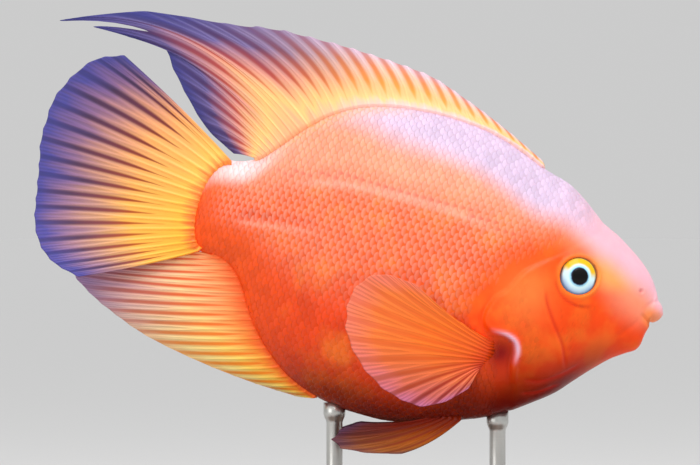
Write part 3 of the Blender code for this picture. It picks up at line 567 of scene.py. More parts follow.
@dataclass
class FaceRelief:
    """Folds, edges, lips, pits and hollows of the skin, by their side-view places.

    Each gives a height along the normal, mostly a bell curve of the distance from a line.
    """

    body: BodyForm
    eye: EyeSeat
    head_edge: Array = field(default_factory=lambda: smooth_line([
        (122.5, 60), (121.6, 29), (117, 22), (112, 17.2), (106, 12.4), (101, 8.2),
        (98.6, 4.2), (97, 0.8), (94.6, -1.4), (93, -4.6), (92.3, -8), (93, -11),
        (95.6, -12.5), (100, -12.7), (103, -14), (104.3, -16.8), (104.4, -21),
        (105.6, -26), (107.6, -31), (108.6, -60)]))
    cheek_fold: Array = field(default_factory=lambda: smooth_line([
        (108.4, 5.4), (108.9, 2.4), (110.4, -0.8), (113.9, -5.8), (117.7, -10.8), (120.1, -16),
        (121.5, -18.8)]))
    eye_fold: Array = field(default_factory=lambda: smooth_line([
        (110.4, 10.5), (111.2, 6.6), (113.4, 3.8), (116.6, 2.2), (120.4, 2.0), (124.4, 3.4)]))
    mouth: Array = field(default_factory=lambda: smooth_line([
        (139.3, 5.6), (139.8, 4.5), (140.8, 3.6), (142.0, 2.9), (143.2, 2.6)]))
    jaw_fold: Array = field(default_factory=lambda: smooth_line([
        (139.6, 3.8), (138.4, 1.4), (136.6, -0.8), (134.5, -3.3), (131.4, -6.6)]))
    lip_fold: Array = field(default_factory=lambda: smooth_line([
        (139.6, 5.0), (140.4, 7.0), (141.8, 8.8), (143.6, 9.9), (145.2, 10.2)]))
    throat_folds: tuple[Array, ...] = field(default_factory=lambda: (
        smooth_line([(107.5, -24), (114, -23.6), (120.5, -19.6), (126, -14.2)]),
        smooth_line([(108.5, -29), (114.5, -27), (121, -22.4)])))
    flank_crease: Array = field(default_factory=lambda: smooth_line([
        (8, 1.2), (18, 2.4), (28, 3.6), (40, 4.6)]))
    cover_bulge: float = 1.7
    cover_at: Point = (103.0, -7.0)
    cover_reach: Point = (13.0, 15.0)
    hollow_depth: float = 1.4
    hollow_at: Point = (101.0, -18.6)
    hollow_reach: Point = (4.2, 5.6)
    nostril_at: Point = (137.4, 11.4)
    lip_ball_at: Point = (142.9, 5.9)
    socket_depth: float = 3.2
    pore_line: Array = field(default_factory=lambda: smooth_line([
        (20, 16.8), (30, 19.6), (40, 21.6), (52, 22.4), (64, 22.5), (75, 22.2), (87, 20.2),
        (97, 16.6)]))

    def edge(self, x: Array, z: Array) -> tuple[Array, Array]:
        """Distance ahead of the gill cover's edge, and the share along it from back to throat."""
        return line_distance(x, z, self.head_edge)

    def cover(self, x: Array, z: Array, ahead: Array) -> Array:
        """The gill cover's swelling, its rolled margin and the groove behind it."""
        swell = self.cover_bulge * spot(x, z, self.cover_at, self.cover_reach)
        swell *= smooth(ahead, -0.9, 0.5)
        notch = smooth(z, 0, -9) * smooth(z, -30, -22)
        low = 0.14 * smooth(z, 14, 4) * smooth(z, -30, -22) + 0.6 * notch
        roll = 0.55 * bell(ahead - 0.9, 0.9) * low
        groove = -0.6 * bell(ahead + 0.6, 0.6) * low
        return swell + roll + groove

    def hollow(self, x: Array, z: Array, ahead: Array) -> Array:
        """The hollow under the gill cover's notch, in front of the pectoral fin's root."""
        oval = spot(x, z, self.hollow_at, self.hollow_reach)
        return -self.hollow_depth * oval * smooth(ahead, 0.3, -0.6)

    def face(self, x: Array, z: Array) -> Array:
        """Cheek, eye, throat and jaw folds, and the nostril with its rim."""
        fold, share = line_distance(x, z, self.cheek_fold)
        height = 0.3 * bell(fold + 1.0, 0.9) - 0.4 * bell(fold, 0.55)
        height *= between(share, 0.15, 0.85)
        fold, share = line_distance(x, z, self.eye_fold)
        height -= 0.22 * bell(fold, 0.5) * between(share, 0.2, 0.7)
        for line in self.throat_folds:
            fold, share = line_distance(x, z, line)
            height -= 0.3 * bell(fold, 0.6) * between(share, 0.2, 0.75)
        fold, share = line_distance(x, z, self.jaw_fold)
        height -= 0.22 * bell(fold, 0.8) * smooth(share, 1, 0.5)
        away = away_from(x, z, self.nostril_at)
        return height + 0.14 * bell(away - 1.1, 0.5) - 0.7 * bell(away, 0.5)

    def lips(self, x: Array, z: Array) -> Array:
        """The mouth's line with a roll of lip above and below it, and the crease over the upper."""
        above, share = line_distance(x, z, self.mouth)
        near = smooth(x, 137.6, 139.6)
        height = -0.55 * bell(above, 0.5) * smooth(share, 0, 0.5) * smooth(x, 143.6, 142.8)
        height += 0.35 * bell(above + 1.6, 1.3) * near
        height += 0.6 * bell(away_from(x, z, self.lip_ball_at), 2.3)
        crease, share = line_distance(x, z, self.lip_fold)
        return height - 0.3 * bell(crease, 0.7) * between(share, 0.3, 0.6)

    def orbit(self, x: Array, z: Array) -> Array:
        """The eye's socket, the raised rim round it, and the skin swung into the eye's plane."""
        away = away_from(x, z, self.eye.at)
        rim = 0.45 * bell(away - self.eye.radius - 0.55, 0.6)
        swing = 0.14 * (x - self.eye.at[0]) * bell(away, 9.0)
        inside = smooth(away, self.eye.radius + 0.1, self.eye.radius - 0.7)
        socket = -self.socket_depth * inside
        return rim + swing + 0.35 * bell(away, 10.0) + socket

    def flank(self, x: Array, z: Array) -> Array:
        """The long crease along the tail stalk, with the muscle rounded on either side."""
        above, share = line_distance(x, z, self.flank_crease)
        height = 0.2 * bell(np.abs(above) - 3.4, 2.0) - 0.3 * bell(above, 2.0)
        return height * between(share, 0.25, 0.6)

    def height(self, points: Array) -> Array:
        """Height of all relief along the normal, at surface points in millimetres."""
        x, z = points[..., 0], points[..., 2]
        ahead, _ = self.edge(x, z)
        return (self.hollow(x, z, ahead) + self.flank(x, z) + self.cover(x, z, ahead)
                + self.face(x, z) + self.lips(x, z) + self.orbit(x, z))


@dataclass
class Markings:
    """Where each colour lies on skin and scales, as shares from 0 to 1 by side-view place."""

    body: BodyForm
    relief: FaceRelief
    # The pale back is partly its own paler colour and partly a painted highlight of the light from
    # above.
    pale_depth: list[Point] = field(default_factory=lambda: [
        (-4, -5), (26, -3), (42, 4), (52, 9), (65, 12), (75, 13), (95, 14), (112, 11),
        (122, 9), (132, 8), (140, 5), (146, 2)])
    peach_depth: list[Point] = field(default_factory=lambda: [
        (-4, 2), (8, 5), (22, 16), (40, 24), (60, 27), (80, 25), (95, 20), (108, 15),
        (118, 14), (128, 17), (138, 13), (143, 6), (146, 3)])
    snout_at: Point = (142.0, 11.0)
    lip_at: Point = (143.0, 4.0)
    hollow_shade_at: Point = (100.4, -18.6)
    cheek_red_at: Point = (97.0, 6.0)
    crown_at: Point = (127.0, 14.5)
    cover_highlight_at: Point = (103.0, 1.0)

    def shares(self, points: Array) -> dict[str, Array]:
        """The colours' shares at surface points, four to each named value."""
        x, z = points[..., 0], points[..., 2]
        down = curve_through(self.body.back, x) - z
        ahead, _ = self.relief.edge(x, z)
        groups = {"marks_body": self.bands(x, z, down), "marks_head": self.head(x, z, ahead),
                  "marks_more": self.accents(x, z, down),
                  "marks_lines": [*self.lines(x, z), self.crown(x, z), self.ticks(x, ahead)]}
        return {name: np.stack(group, -1) for name, group in groups.items()}

    def bands(self, x: Array, z: Array, down: Array) -> list[Array]:
        """Low flank and the belly's painted shade by the share up the section; peach, and the pale
        back that is partly its own colour and partly a painted highlight, by depth of back.
        """
        top, bottom, _ = self.body.section(x)
        up = (z - bottom) / np.maximum(top - bottom, 0.5)
        low = smooth(up, 0.52, 0.24)
        # Painted shade: belly and throat darkened towards the bottom, as if shaded from the light
        # above.
        belly = smooth(up, 0.16 + 0.16 * smooth(x, 70, 108), 0.02)
        belly *= smooth(x, 140, 120) * smooth(x, 20, 60)
        peach = smooth(curve_through(self.peach_depth, x) - down, -8, 8)
        fade = 5 + 4 * smooth(x, 75, 40)
        pale = smooth(curve_through(self.pale_depth, x) - down, -fade, 4)
        return [low, belly, peach, pale]

    def head(self, x: Array, z: Array, ahead: Array) -> list[Array]:
        """Head, snout, the pale roll at the gill cover's notch and painted shade in the hollow
        under it.
        """
        snout = smooth(away_from(x, z, self.snout_at), 18, 3) * smooth(z, -5, 5)
        rolled = bell(ahead - 0.6, 0.75) * smooth(x, 94, 102)
        rolled *= smooth(z, -9.5, -12) * smooth(z, -21.5, -14.5)
        # Painted shade: the hollow under the gill cover's notch is darkened.
        hollow_shade = spot(x, z, self.hollow_shade_at, (4.6, 5.0)) * smooth(ahead, 0.2, -0.5)
        return [smooth(ahead, -20, 2), snout, rolled, hollow_shade]

    def accents(self, x: Array, z: Array, down: Array) -> list[Array]:
        """Orange round the eye and on the lip, a painted highlight on top of the stalk, its red,
        and the golden back.
        """
        lip = np.hypot(x - self.lip_at[0], 1.1 * (z - self.lip_at[1]))
        ring = bell(away_from(x, z, self.relief.eye.at) - 6.2, 0.9)
        ring = np.maximum(ring, smooth(lip, 4.4, 1.8))
        # Painted highlight: a near-white patch on top of the tail stalk, where the light from above
        # falls.
        stalk_highlight = bell(x - 8, 9) * smooth(down, 9.5, 3.5)
        stalk = smooth(x, 40, 10) * smooth(down, 8, 15)
        stalk = np.maximum(stalk, 0.85 * spot(x, z, self.cheek_red_at, (13, 8.5)))
        gold = 0.75 * smooth(x, 62, 40) * smooth(x, 12, 20) * smooth(down, 6, 0)
        return [ring, stalk_highlight, stalk, gold]

    def lines(self, x: Array, z: Array) -> list[Array]:
        """Painted shade along the creases, by the distance from each fold, and in the nostril;
        painted highlights along the pale ridges under the side lines.
        """
        above, share = line_distance(x, z, self.relief.flank_crease)
        ends = between(share, 0.2, 0.6)
        # Painted shade in the flank crease.
        crease = 0.4 * bell(above - 0.8, 2.2) * ends
        # Painted highlights: pale lines along the ridges under the flank crease and the line of
        # pores.
        ridge_highlight = 0.45 * bell(above + 1.6, 0.9) * ends
        above, share = line_distance(x, z, self.relief.pore_line)
        ridge_highlight = np.maximum(ridge_highlight, 0.65 * bell(above + 2.2, 1.3) * between(share, 0.2, 0.7))
        # Painted shade along the folds of cheek, eye and throat, and in the nostril pit.
        for line in (self.relief.cheek_fold, self.relief.eye_fold, *self.relief.throat_folds):
            fold, share = line_distance(x, z, line)
            crease = np.maximum(crease, 0.7 * bell(fold, 0.5) * between(share, 0.2, 0.8))
        nostril = away_from(x, z, self.relief.nostril_at)
        return [np.maximum(crease, 0.3 * bell(nostril, 1.0)), ridge_highlight]

    def crown(self, x: Array, z: Array) -> Array:
        """The amber tint over the eye, and a weaker painted highlight in the same colour on the
        gill cover.
        """
        off = np.hypot((x - self.crown_at[0]) / 1.4, z - self.crown_at[1])
        return np.maximum(smooth(off, 8, 2), 0.45 * spot(x, z, self.cover_highlight_at, (8, 9)))

    def ticks(self, x: Array, ahead: Array) -> Array:
        """How clearly each scale shows: not on the head, and more and more behind it."""
        return smooth(ahead, 0, -16) * smooth(x, -2, 8)


@dataclass(frozen=True)
class SkinFinish:
    """Colours and gloss of skin and scales."""

    flank: Colour = (252, 98, 44)
    low: Colour = (242, 68, 8)
    # A deep red painted as shade on the underside.
    belly: Colour = (122, 20, 2)
    peach: Colour = (253, 152, 116)
    # pale and pale_head are partly the back's own paler colour and partly a painted highlight of
    # the light from above.
    pale: Colour = (216, 184, 210)
    pale_head: Colour = (240, 182, 198)
    head: Colour = (254, 74, 4)
    warm: Colour = (255, 126, 40)
    snout: Colour = (252, 128, 100)
    rolled: Colour = (250, 205, 232)
    # A dark red painted as shade in the hollow under the gill cover's notch.
    hollow_shade: Colour = (150, 14, 0)
    ring: Colour = (255, 142, 48)
    # Near-white painted highlight on top of the tail stalk.
    stalk_highlight: Colour = (255, 238, 242)
    stalk: Colour = (250, 84, 24)
    gold: Colour = (255, 178, 82)
    # A dark red painted as shade in creases, folds and the nostril.
    crease: Colour = (206, 34, 12)
    # Pale colour of the painted highlights along the ridges.
    ridge_highlight: Colour = (255, 190, 170)
    # Amber over the eye; on the gill cover the same colour is a painted highlight.
    crown: Colour = (255, 174, 92)
    pore: Colour = (212, 92, 100)
    mottle: Colour = (255, 140, 48)
    scale_edge: Colour = (255, 170, 150)
    # Scale edges on the pale back take a paler colour that is partly a painted highlight.
    scale_edge_pale: Colour = (232, 206, 236)
    scale_heart: Colour = (248, 92, 14)
    roughness: float = 0.42
    coat: float = 0.06
    gloss: float = 0.16

    def marked(self, g: Graph) -> bpy.types.NodeSocket:
        """The body's colour from its markings, laid over one another with wavering edges.

        Args:
            g: The material's graph.

        Returns:
            The colour.
        """
        low, belly, peach, pale = g.four("marks_body")
        head, snout, rolled, hollow_shade = g.four("marks_head")
        ring, stalk_highlight, stalk, gold = g.four("marks_more")
        crease, ridge_highlight, crown, _ = g.four("marks_lines")
        waver = g.spread(g.noise(60, 3), -0.3, 0.3)
        patches = g.clipped(g.noise(95, 3), 0.42, 0.68)
        face = g.mix(g.times(patches, 0.45), linear(self.head), linear(self.warm))
        colour = g.mix(low, linear(self.flank), linear(self.low))
        golden = g.times(g.clipped(g.noise(70, 4), 0.46, 0.7), 0.5)
        colour = g.mix(golden, colour, linear(self.mottle))
        colour = g.mix(head, colour, face)
        colour = g.mix(snout, colour, linear(self.snout))
        colour = g.mix(stalk, colour, linear(self.stalk))
        # The belly's share lays painted shade on the underside.
        for share, over in ((belly, self.belly), (peach, self.peach)):
            uneven = g.maths("ADD", share, g.times(waver, share))
            colour = g.mix(uneven, colour, linear(over))
        # Amber over the eye, and a painted highlight on the gill cover.
        colour = g.mix(g.times(crown, 0.7), colour, linear(self.crown))
        colour = g.mix(g.times(ridge_highlight, 0.7), colour, linear(self.ridge_highlight))
        # Painted shade in the creases.
        colour = g.mix(g.times(crease, 0.8), colour, linear(self.crease))
        # The pale back: partly its own colour and partly a painted highlight.
        colour = g.mix(pale, colour, g.mix(head, linear(self.pale), linear(self.pale_head)))
        ring = g.times(ring, 0.5)
        for share, over in ((gold, self.gold), (ring, self.ring), (stalk_highlight, self.stalk_highlight),
                            (rolled, self.rolled), (hollow_shade, self.hollow_shade)):
            colour = g.mix(share, colour, linear(over))
        blotch = g.spread(g.noise(140, 4), 0.86, 1.12)
        return g.tinted(colour, blotch)

    def skin(self) -> bpy.types.Material:
        """Wet skin with fine pits."""
        g = Graph("wet_skin")
        fine = g.noise(2600, 3)
        flesh = g.maths("ADD", g.times(g.noise(460, 3), 5.0), fine)
        g.shade(Base_Color=self.marked(g), Roughness=g.spread(fine, self.roughness - 0.08,
                self.roughness + 0.06), Coat_Weight=self.coat, Coat_Roughness=0.15,
                Specular_IOR_Level=self.gloss, Subsurface_Weight=0.12,
                Subsurface_Scale=0.002, Normal=g.bump(flesh, 0.00004, 0.6))
        return g.material

    def scales(self) -> bpy.types.Material:
        """Scales with a deeper heart and a pale free edge, each a little unlike the next."""
        g = Graph("scales")
        colour = self.marked(g)
        low, _, _, pale = g.four("marks_body")
        tick = g.four("marks_lines")[3]
        edge, own, pore = (g.number(n) for n in ("edge", "own", "pore"))
        # On the pale back the scales' edges and hearts turn paler, partly as a painted highlight.
        bright = g.mix(pale, linear(self.scale_edge), linear(self.scale_edge_pale))
        heart = g.mix(pale, linear(self.scale_heart), linear(self.pale))
        inner_share = g.times(g.clipped(edge, 0.9, 0.4), tick)
        inner = g.mix(g.times(inner_share, g.spread(own, 0.12, 0.32)), colour, heart)
        edge_share = g.times(g.clipped(edge, 0.6, 0.95), tick)
        colour = g.mix(g.times(edge_share, g.spread(low, 0.44, 0.05)), inner, bright)
        colour = g.mix(g.times(pore, 0.45), colour, linear(self.pore))
        colour = g.tinted(colour, g.spread(own, 0.92, 1.08))
        fine = g.noise(3000, 2)
        g.shade(Base_Color=colour, Roughness=g.spread(own, self.roughness - 0.08,
                self.roughness + 0.06), Coat_Weight=self.coat, Coat_Roughness=0.15,
                Specular_IOR_Level=self.gloss, Subsurface_Weight=0.1,
                Subsurface_Scale=0.0015, Normal=g.bump(fine, 0.00004, 0.4))
        return g.material


@dataclass
class Skin:
    """The one skin over head and body."""

    body: BodyForm
    relief: FaceRelief
    markings: Markings
    place: FishFrame
    around: int = 264
    coat_depth: float = 0.3
    face_depth: float = 0.08
    spacing: list[Point] = field(default_factory=lambda: [
        (-3.5, 0.12), (-2, 0.25), (2, 0.7), (84, 0.75), (91, 0.36), (128, 0.33),
        (137, 0.27), (141, 0.16), (145, 0.12), (146, 0.06)])

    def stations(self) -> Array:
        """Places of the rings: the running sum of one over the spacing, read at whole numbers."""
        x = np.linspace(self.body.tail, self.body.nose, 6000)
        count = np.concatenate([[0], np.cumsum(np.diff(x) / curve_through(self.spacing, x[1:]))])
        return np.interp(np.linspace(0, count[-1], int(count[-1])), count, x)[1:-1]

    def angles(self) -> Array:
        """Angles round a ring, evenly far apart on an oval that is 2.2 times as high as wide."""
        fine = np.linspace(-math.pi / 2, 3 * math.pi / 2, 4001)
        step = np.hypot(np.sin(fine), 2.2 * np.cos(fine))
        run = np.concatenate([[0], np.cumsum((step[1:] + step[:-1]) / 2)])
        return np.interp(np.arange(self.around) / self.around * run[-1], run, fine)

    def build(self, finish: SkinFinish) -> bpy.types.Object:
        """Makes the skin.

        Args:
            finish: Its colours and gloss.

        Returns:
            The piece.
        """
        x, angle = np.meshgrid(self.stations(), self.angles(), indexing="ij")
        base = self.body.point(x, angle)
        ahead, _ = self.relief.edge(base[..., 0], base[..., 2])
        depth = self.face_depth + (self.coat_depth - self.face_depth) * smooth(ahead, 1, -1)
        height = self.relief.height(base) - depth
        points = (base + self.body.normal(base) * height[..., None]).reshape(-1, 3)
        rings = len(x)
        ends = np.stack([points[:self.around].mean(0), points[-self.around:].mean(0)])
        points = np.vstack([points, ends])
        shares = {name: np.vstack([four.reshape(-1, 4), four[0, :1], four[-1, :1]])
                  for name, four in self.markings.shares(base).items()}
        world = self.place.world(points)
        net = ring_net(rings, self.around).outward(world)
        flesh = ("head", "lower_jaw", "gill_cover_right", "gill_cover_left", "trunk",
                 "tail_stalk")
        piece = make_piece("skin", world, net, flesh, shares)
        piece.data.materials.append(finish.skin())
        return piece


@dataclass
class ScaleCoat:
    """The scales: thin closed plates in rows along the body, each lapping over the one behind.

    A row keeps its distance from the line of the widest places. In a row the scales are a pitch
    apart, and the rows next to it are moved by half a pitch.
    """

    body: BodyForm
    relief: FaceRelief
    markings: Markings
    place: FishFrame
    pitch: list[Point] = field(default_factory=lambda: [
        (-4, 1.4), (6, 1.8), (25, 2.2), (60, 2.45), (80, 2.5), (104, 2.2), (128, 1.7)])
    row_gap: Point = (2.05, 1.65)
    length: float = 1.85
    share_ahead: float = 0.25
    width: float = 2.0
    lift: float = 0.11
    sunk: float = 0.05
    thick: float = 0.05
    base_depth: float = 0.3
    out: Array = field(default_factory=lambda: np.array([0, 0.35, 0.6, 0.76, 0.88, 0.95, 1.0]))
    across: int = 9
    first: float = 129.0
    last: float = -1.6
    reach: float = 74.0
    patch_size: float = 0.003
    bands: tuple[tuple[str, float, float], ...] = (
        ("upper", 13.0, 99.0), ("middle", -13.0, 13.0), ("lower", -99.0, -13.0))
    table: tuple[Array, Array, Array] = field(init=False)

    def __post_init__(self) -> None:
        """Works out the table of angles."""
        self.table = self.angle_table()

    def angle_table(self) -> tuple[Array, Array, Array]:
        """Angles of the section at each x and distance round from the widest line.

        The distance is the running length of the section. Past the back or belly the angle goes
        on down the other side by the same length.

        Returns:
            The table's places x, its distances, and the angles, (places, distances).
        """
        xs = np.linspace(self.body.tail + 0.1, 140.0, 240)
        angle = np.linspace(-math.pi / 2, math.pi / 2, 361)
        x, a = np.meshgrid(xs, angle, indexing="ij")
        step = np.linalg.norm(np.diff(self.body.point(x, a), axis=1), axis=2)
        run = np.concatenate([np.zeros((len(xs), 1)), np.cumsum(step, axis=1)], 1)
        run -= run[:, 180:181]
        wanted = np.linspace(-self.reach, self.reach, 297)
        table = np.zeros((len(xs), len(wanted)))
        for k, line in enumerate(run):
            over = np.clip(wanted, line[0], line[-1])
            inside = 2 * over - wanted
            read = np.interp(inside, line, angle)
            back = np.where(wanted > line[-1], math.pi - read, -math.pi - read)
            table[k] = np.where(over == wanted, read, back)
        return xs, wanted, table

    def angle(self, x: Array, run: Array) -> Array:
        """Angles at places x and distances round, read from the table between its four nearest."""
        xs, runs, table = self.table
        i = np.clip((x - xs[0]) / (xs[1] - xs[0]), 0, len(xs) - 1.001)
        k = np.clip((run - runs[0]) / (runs[1] - runs[0]), 0, len(runs) - 1.001)
        i0, k0 = i.astype(int), k.astype(int)
        past_i, past_k = i - i0, k - k0
        low = table[i0, k0] * (1 - past_i) + table[i0 + 1, k0] * past_i
        high = table[i0, k0 + 1] * (1 - past_i) + table[i0 + 1, k0 + 1] * past_i
        return low * (1 - past_k) + high * past_k

    def roots(self) -> tuple[Array, Array]:
        """Places and distances round of all scales of one side."""
        half_steps = [self.first]
        while half_steps[-1] > self.last:
            step = float(curve_through(self.pitch, np.array(half_steps[-1]))) / 2
            half_steps.append(half_steps[-1] - step)
        rows = [0.0]
        while rows[-1] < self.reach:
            share = rows[-1] / self.reach
            rows.append(rows[-1] + self.row_gap[0] * (1 - share) + self.row_gap[1] * share)
        xs, runs = [], []
        for number in range(-len(rows) + 1, len(rows)):
            places = half_steps[number % 2 :: 2]
            xs.extend(places)
            runs.extend([math.copysign(rows[abs(number)], number)] * len(places))
        return np.array(xs), np.array(runs)

    def kept(self, x: Array, run: Array) -> Array:
        """Which roots lie on the scaled skin: behind the head's edge and clear of the midlines."""
        angle = self.angle(x, run)
        front = self.body.point(x + 1.1, angle)
        ahead, _ = self.relief.edge(front[:, 0], front[:, 2])
        top, bottom, _ = self.body.section(x)
        inside = np.abs(angle) < math.pi / 2 - 0.7 / np.maximum((top - bottom) / 2, 1)
        return inside & (ahead < -0.6 + 2.0 * smooth(front[:, 2], 12, 24))

    def seating(self, ahead: Array, z: Array) -> tuple[Array, Array]:
        """Share of the full lift, less towards the head, and depth tucked under the gill cover."""
        return (0.2 + 0.8 * smooth(ahead, 1.5, -9),
                0.5 * smooth(ahead, -1.4, -0.4) * smooth(z, 14, 11))

    def plates(self, x: Array, run: Array, side: Side) -> tuple[Array, Array, Array]:
        """Points of all plates of one side.

        A plate's free edge is a flat arc with rounded corners, and its height over the skin grows
        from a sunk root to the free edge.

        Args:
            x: The scales' places.
            run: Their distances round.
            side: The side of the fish.

        Returns:
            Front points, back points, both (scales, rows, columns, 3) in millimetres, and the
            share out to the free edge, (rows, columns).
        """
        t, w = np.meshgrid(self.out, np.sin(np.linspace(-1, 1, self.across) * math.pi / 2.15),
                           indexing="ij")
        w = w / np.abs(w).max()
        along = t * (0.62 + 0.38 * np.sqrt(np.clip(1 - w**4, 0, 1)) - 0.06 * w**2)
        pitch = curve_through(self.pitch, x)[:, None, None]
        gap = (self.row_gap[0] + (self.row_gap[1] - self.row_gap[0]) * np.abs(run) / self.reach)
        px = x[:, None, None] - (along[None] - self.share_ahead) * self.length * pitch
        spread = w[None] * (0.82 + 0.18 * along[None]) * self.width * gap[:, None, None] / 2
        pr = run[:, None, None] + spread
        angle = self.angle(px, pr)
        angle = angle if side is Side.RIGHT else math.pi - angle
        base = self.body.point(px, angle)
        normal = self.body.normal(base)
        ahead, _ = self.relief.edge(base[..., 0], base[..., 2])
        rise, tuck = self.seating(ahead, base[..., 2])
        height = -self.sunk + (self.lift * along - 0.03 * w**2)[None] * rise
        height = height + self.relief.height(base) - self.base_depth - tuck
        front = base + normal * height[..., None]
        back = base + normal * (height - self.thick)[..., None]
        return front, back, t

    def build(self, finish: SkinFinish, seed: int = 7) -> list[bpy.types.Object]:
        """Makes the scales, a piece for each band of each side.

        Args:
            finish: Their colours and gloss.
            seed: Seeds the small differences between scales.

        Returns:
            The pieces.
        """
        x, run = self.roots()
        keep = self.kept(x, run)
        x, run = x[keep], run[keep]
        rng = np.random.default_rng(seed)
        x = x + rng.normal(0, 0.05, len(x))
        run = run + rng.normal(0, 0.04, len(run))
        own = rng.random(len(x))
        material = finish.scales()
        made = []
        for side in Side:
            for word, low, high in self.bands:
                part = (run >= low) & (run < high)
                name = f"scales_{side.word}_{word}"
                made.append(self.piece(name, x[part], run[part], own[part], side))
                made[-1].data.materials.append(material)
        return made

    def patches(self, x: Array, run: Array, side: Side, one: Net) -> Array:
        """Each plate's small patch of the flat map, at its root's place on the skin's own map."""
        around = (self.angle(x, run) + math.pi / 2) / math.tau
        around = around if side is Side.RIGHT else 1 - around
        root = np.stack([(x - self.body.tail) / (self.body.nose - self.body.tail), around], 1)
        patch = (one.quad_map[None] - 0.5) * self.patch_size + root[:, None, None, :]
        return patch.reshape(-1, 4, 2)

    def on_pore_line(self, x: Array, run: Array) -> Array:
        """Which scales lie along the line of pores."""
        middle = self.body.point(x - 1.0, self.angle(x, run))
        above, share = line_distance(x - 1.0, middle[:, 2], self.relief.pore_line)
        return (np.abs(above) < 1.0) & (share > 0) & (share < 1)

    def piece(self, name: str, x: Array, run: Array, own: Array, side: Side) -> bpy.types.Object:
        """Makes the plates of one part of the coat into a piece."""
        front, back, t = self.plates(x, run, side)
        one = leaf_net(*t.shape)
        inner = back[:, 1:-1, 1:-1].reshape(len(x), -1, 3)
        points = np.concatenate([front.reshape(len(x), -1, 3), inner], 1)
        if one.volume(points[len(x) // 2]) < 0:
            one = one.flipped()
        each = points.shape[1]
        start = (np.arange(len(x)) * each)[:, None, None]
        quads = (one.quads[None] + start).reshape(-1, 4)
        w = np.linspace(-1, 1, self.across)[None, :] + 0 * t
        rim = t * (1 - 0.3 * smooth(np.abs(w), 0.45, 0.95))
        dot = bell(t - 0.66, 0.16) * bell(w, 0.3)
        pore = self.on_pore_line(x, run)[:, None] * front_and_back(dot, dot)[None]
        flat = points.reshape(-1, 3)
        numbers = {"edge": np.tile(front_and_back(rim, rim), len(x)),
                   "own": np.repeat(own, each), "pore": pore.ravel(),
                   **self.markings.shares(flat)}
        net = Net(quads, self.patches(x, run, side, one))
        return make_piece(name, self.place.world(flat), net, (), numbers)


@dataclass
class FaceScales(ScaleCoat):
    """Small flush scales on gill cover and cheek, clear of the eye, the folds and the jaws."""

    pitch: list[Point] = field(default_factory=lambda: [(-4, 1.6), (98, 1.6), (130, 1.2)])
    row_gap: Point = (1.45, 1.25)
    lift: float = 0.045
    sunk: float = 0.02
    thick: float = 0.03
    base_depth: float = 0.08
    out: Array = field(default_factory=lambda: np.array([0, 0.3, 0.6, 0.82, 0.93, 0.985, 1.0]))
    last: float = 92.0
    bands: tuple[tuple[str, float, float], ...] = (("face", -99.0, 99.0),)
    fold_clear: Point = (4.6, 3.6)
    eye_fold_clear: float = 2.2
    eye_clear: float = 8.8
    edge_clear: float = 3.2
    top: float = 8.0

    def kept(self, x: Array, run: Array) -> Array:
        """Which roots lie on gill cover and cheek."""
        angle = self.angle(x, run)
        middle = self.body.point(x - 0.5, angle)
        mx, mz = middle[:, 0], middle[:, 2]
        ahead, _ = self.relief.edge(mx, mz)
        fold, _ = line_distance(mx, mz, self.relief.cheek_fold)
        under_eye, _ = line_distance(mx, mz, self.relief.eye_fold)
        away = away_from(mx, mz, self.relief.eye.at)
        off_fold = (fold < -self.fold_clear[0]) | (fold > self.fold_clear[1])
        off_eye = (np.abs(under_eye) > self.eye_fold_clear) & (away > self.eye_clear)
        front, throat = 126 - 0.2 * np.abs(mz), -18 + 0.6 * np.maximum(mx - 108, 0)
        inside = (ahead > self.edge_clear) & (mx < front) & (mz > throat) & (mz < self.top)
        return off_fold & off_eye & inside

    def seating(self, ahead: Array, z: Array) -> tuple[Array, Array]:
        """Full lift on the gill cover, much less towards the snout, and no tuck."""
        return 1 - 0.5 * smooth(ahead, 9, 22), np.zeros_like(z)


Bands = tuple[Colour, ...]


@dataclass(frozen=True)
class FinFinish:
    """Colours of a fin's rays and of the web between them, from root to margin.

    The first colours are those of its first ray and the last of its last. Blend says where along
    the row of rays the one set gives way to the other.
    """

    name: str
    ray_first: Bands
    ray_last: Bands
    web_first: Bands
    web_last: Bands
    blend: Point = (0.2, 0.8)
    clear: float = 0.2
    stops: tuple[float, ...] = (0.0, 0.11, 0.4, 0.76, 0.97)
    streak: Point = (0.82, 1.16)

    def material(self) -> bpy.types.Material:
        """Broad pale rays with darker web between them, in fine streaks that follow the rays."""
        g = Graph(self.name)
        out, along, ray, band, pitch = (g.number(n) for n in ("out", "along", "ray", "band",
                                                              "pitch"))
        fine = g.noise(1.0, 3, g.vector(g.times(pitch, 7.0), g.times(out, 5.0), 0.0))
        broad = g.noise(1.0, 2, g.vector(g.times(pitch, 1.3), g.times(out, 2.0), 3.0))
        reach = g.maths("ADD", out, g.spread(broad, -0.14, 0.14))
        reach = g.maths("ADD", reach, g.spread(fine, -0.05, 0.05))
        across = g.clipped(along, *self.blend)
        web, bone = (g.mix(across, *(g.ramp(reach, list(zip(self.stops, c))) for c in pair))
                     for pair in ((self.web_first, self.web_last),
                                  (self.ray_first, self.ray_last)))
        colour = g.mix(band, web, bone)
        colour = g.tinted(colour, g.spread(fine, *self.streak))
        colour = g.tinted(colour, g.spread(ray, 0.95, 1.08))
        thin = g.times(g.clipped(out, 0.3, 1.0), g.clipped(ray, 0.6, 0.1))
        joint = g.maths("SINE", g.times(out, 260.0))
        relief = g.maths("ADD", g.times(joint, g.times(ray, 0.3)), fine)
        g.shade(Base_Color=colour, Roughness=g.spread(ray, 0.5, 0.38), Coat_Weight=0.08,
                Coat_Roughness=0.2, Specular_IOR_Level=0.3,
                Alpha=g.maths("SUBTRACT", 1.0, g.times(thin, self.clear)),
                Normal=g.bump(relief, 0.00006, 0.5))
        return g.material


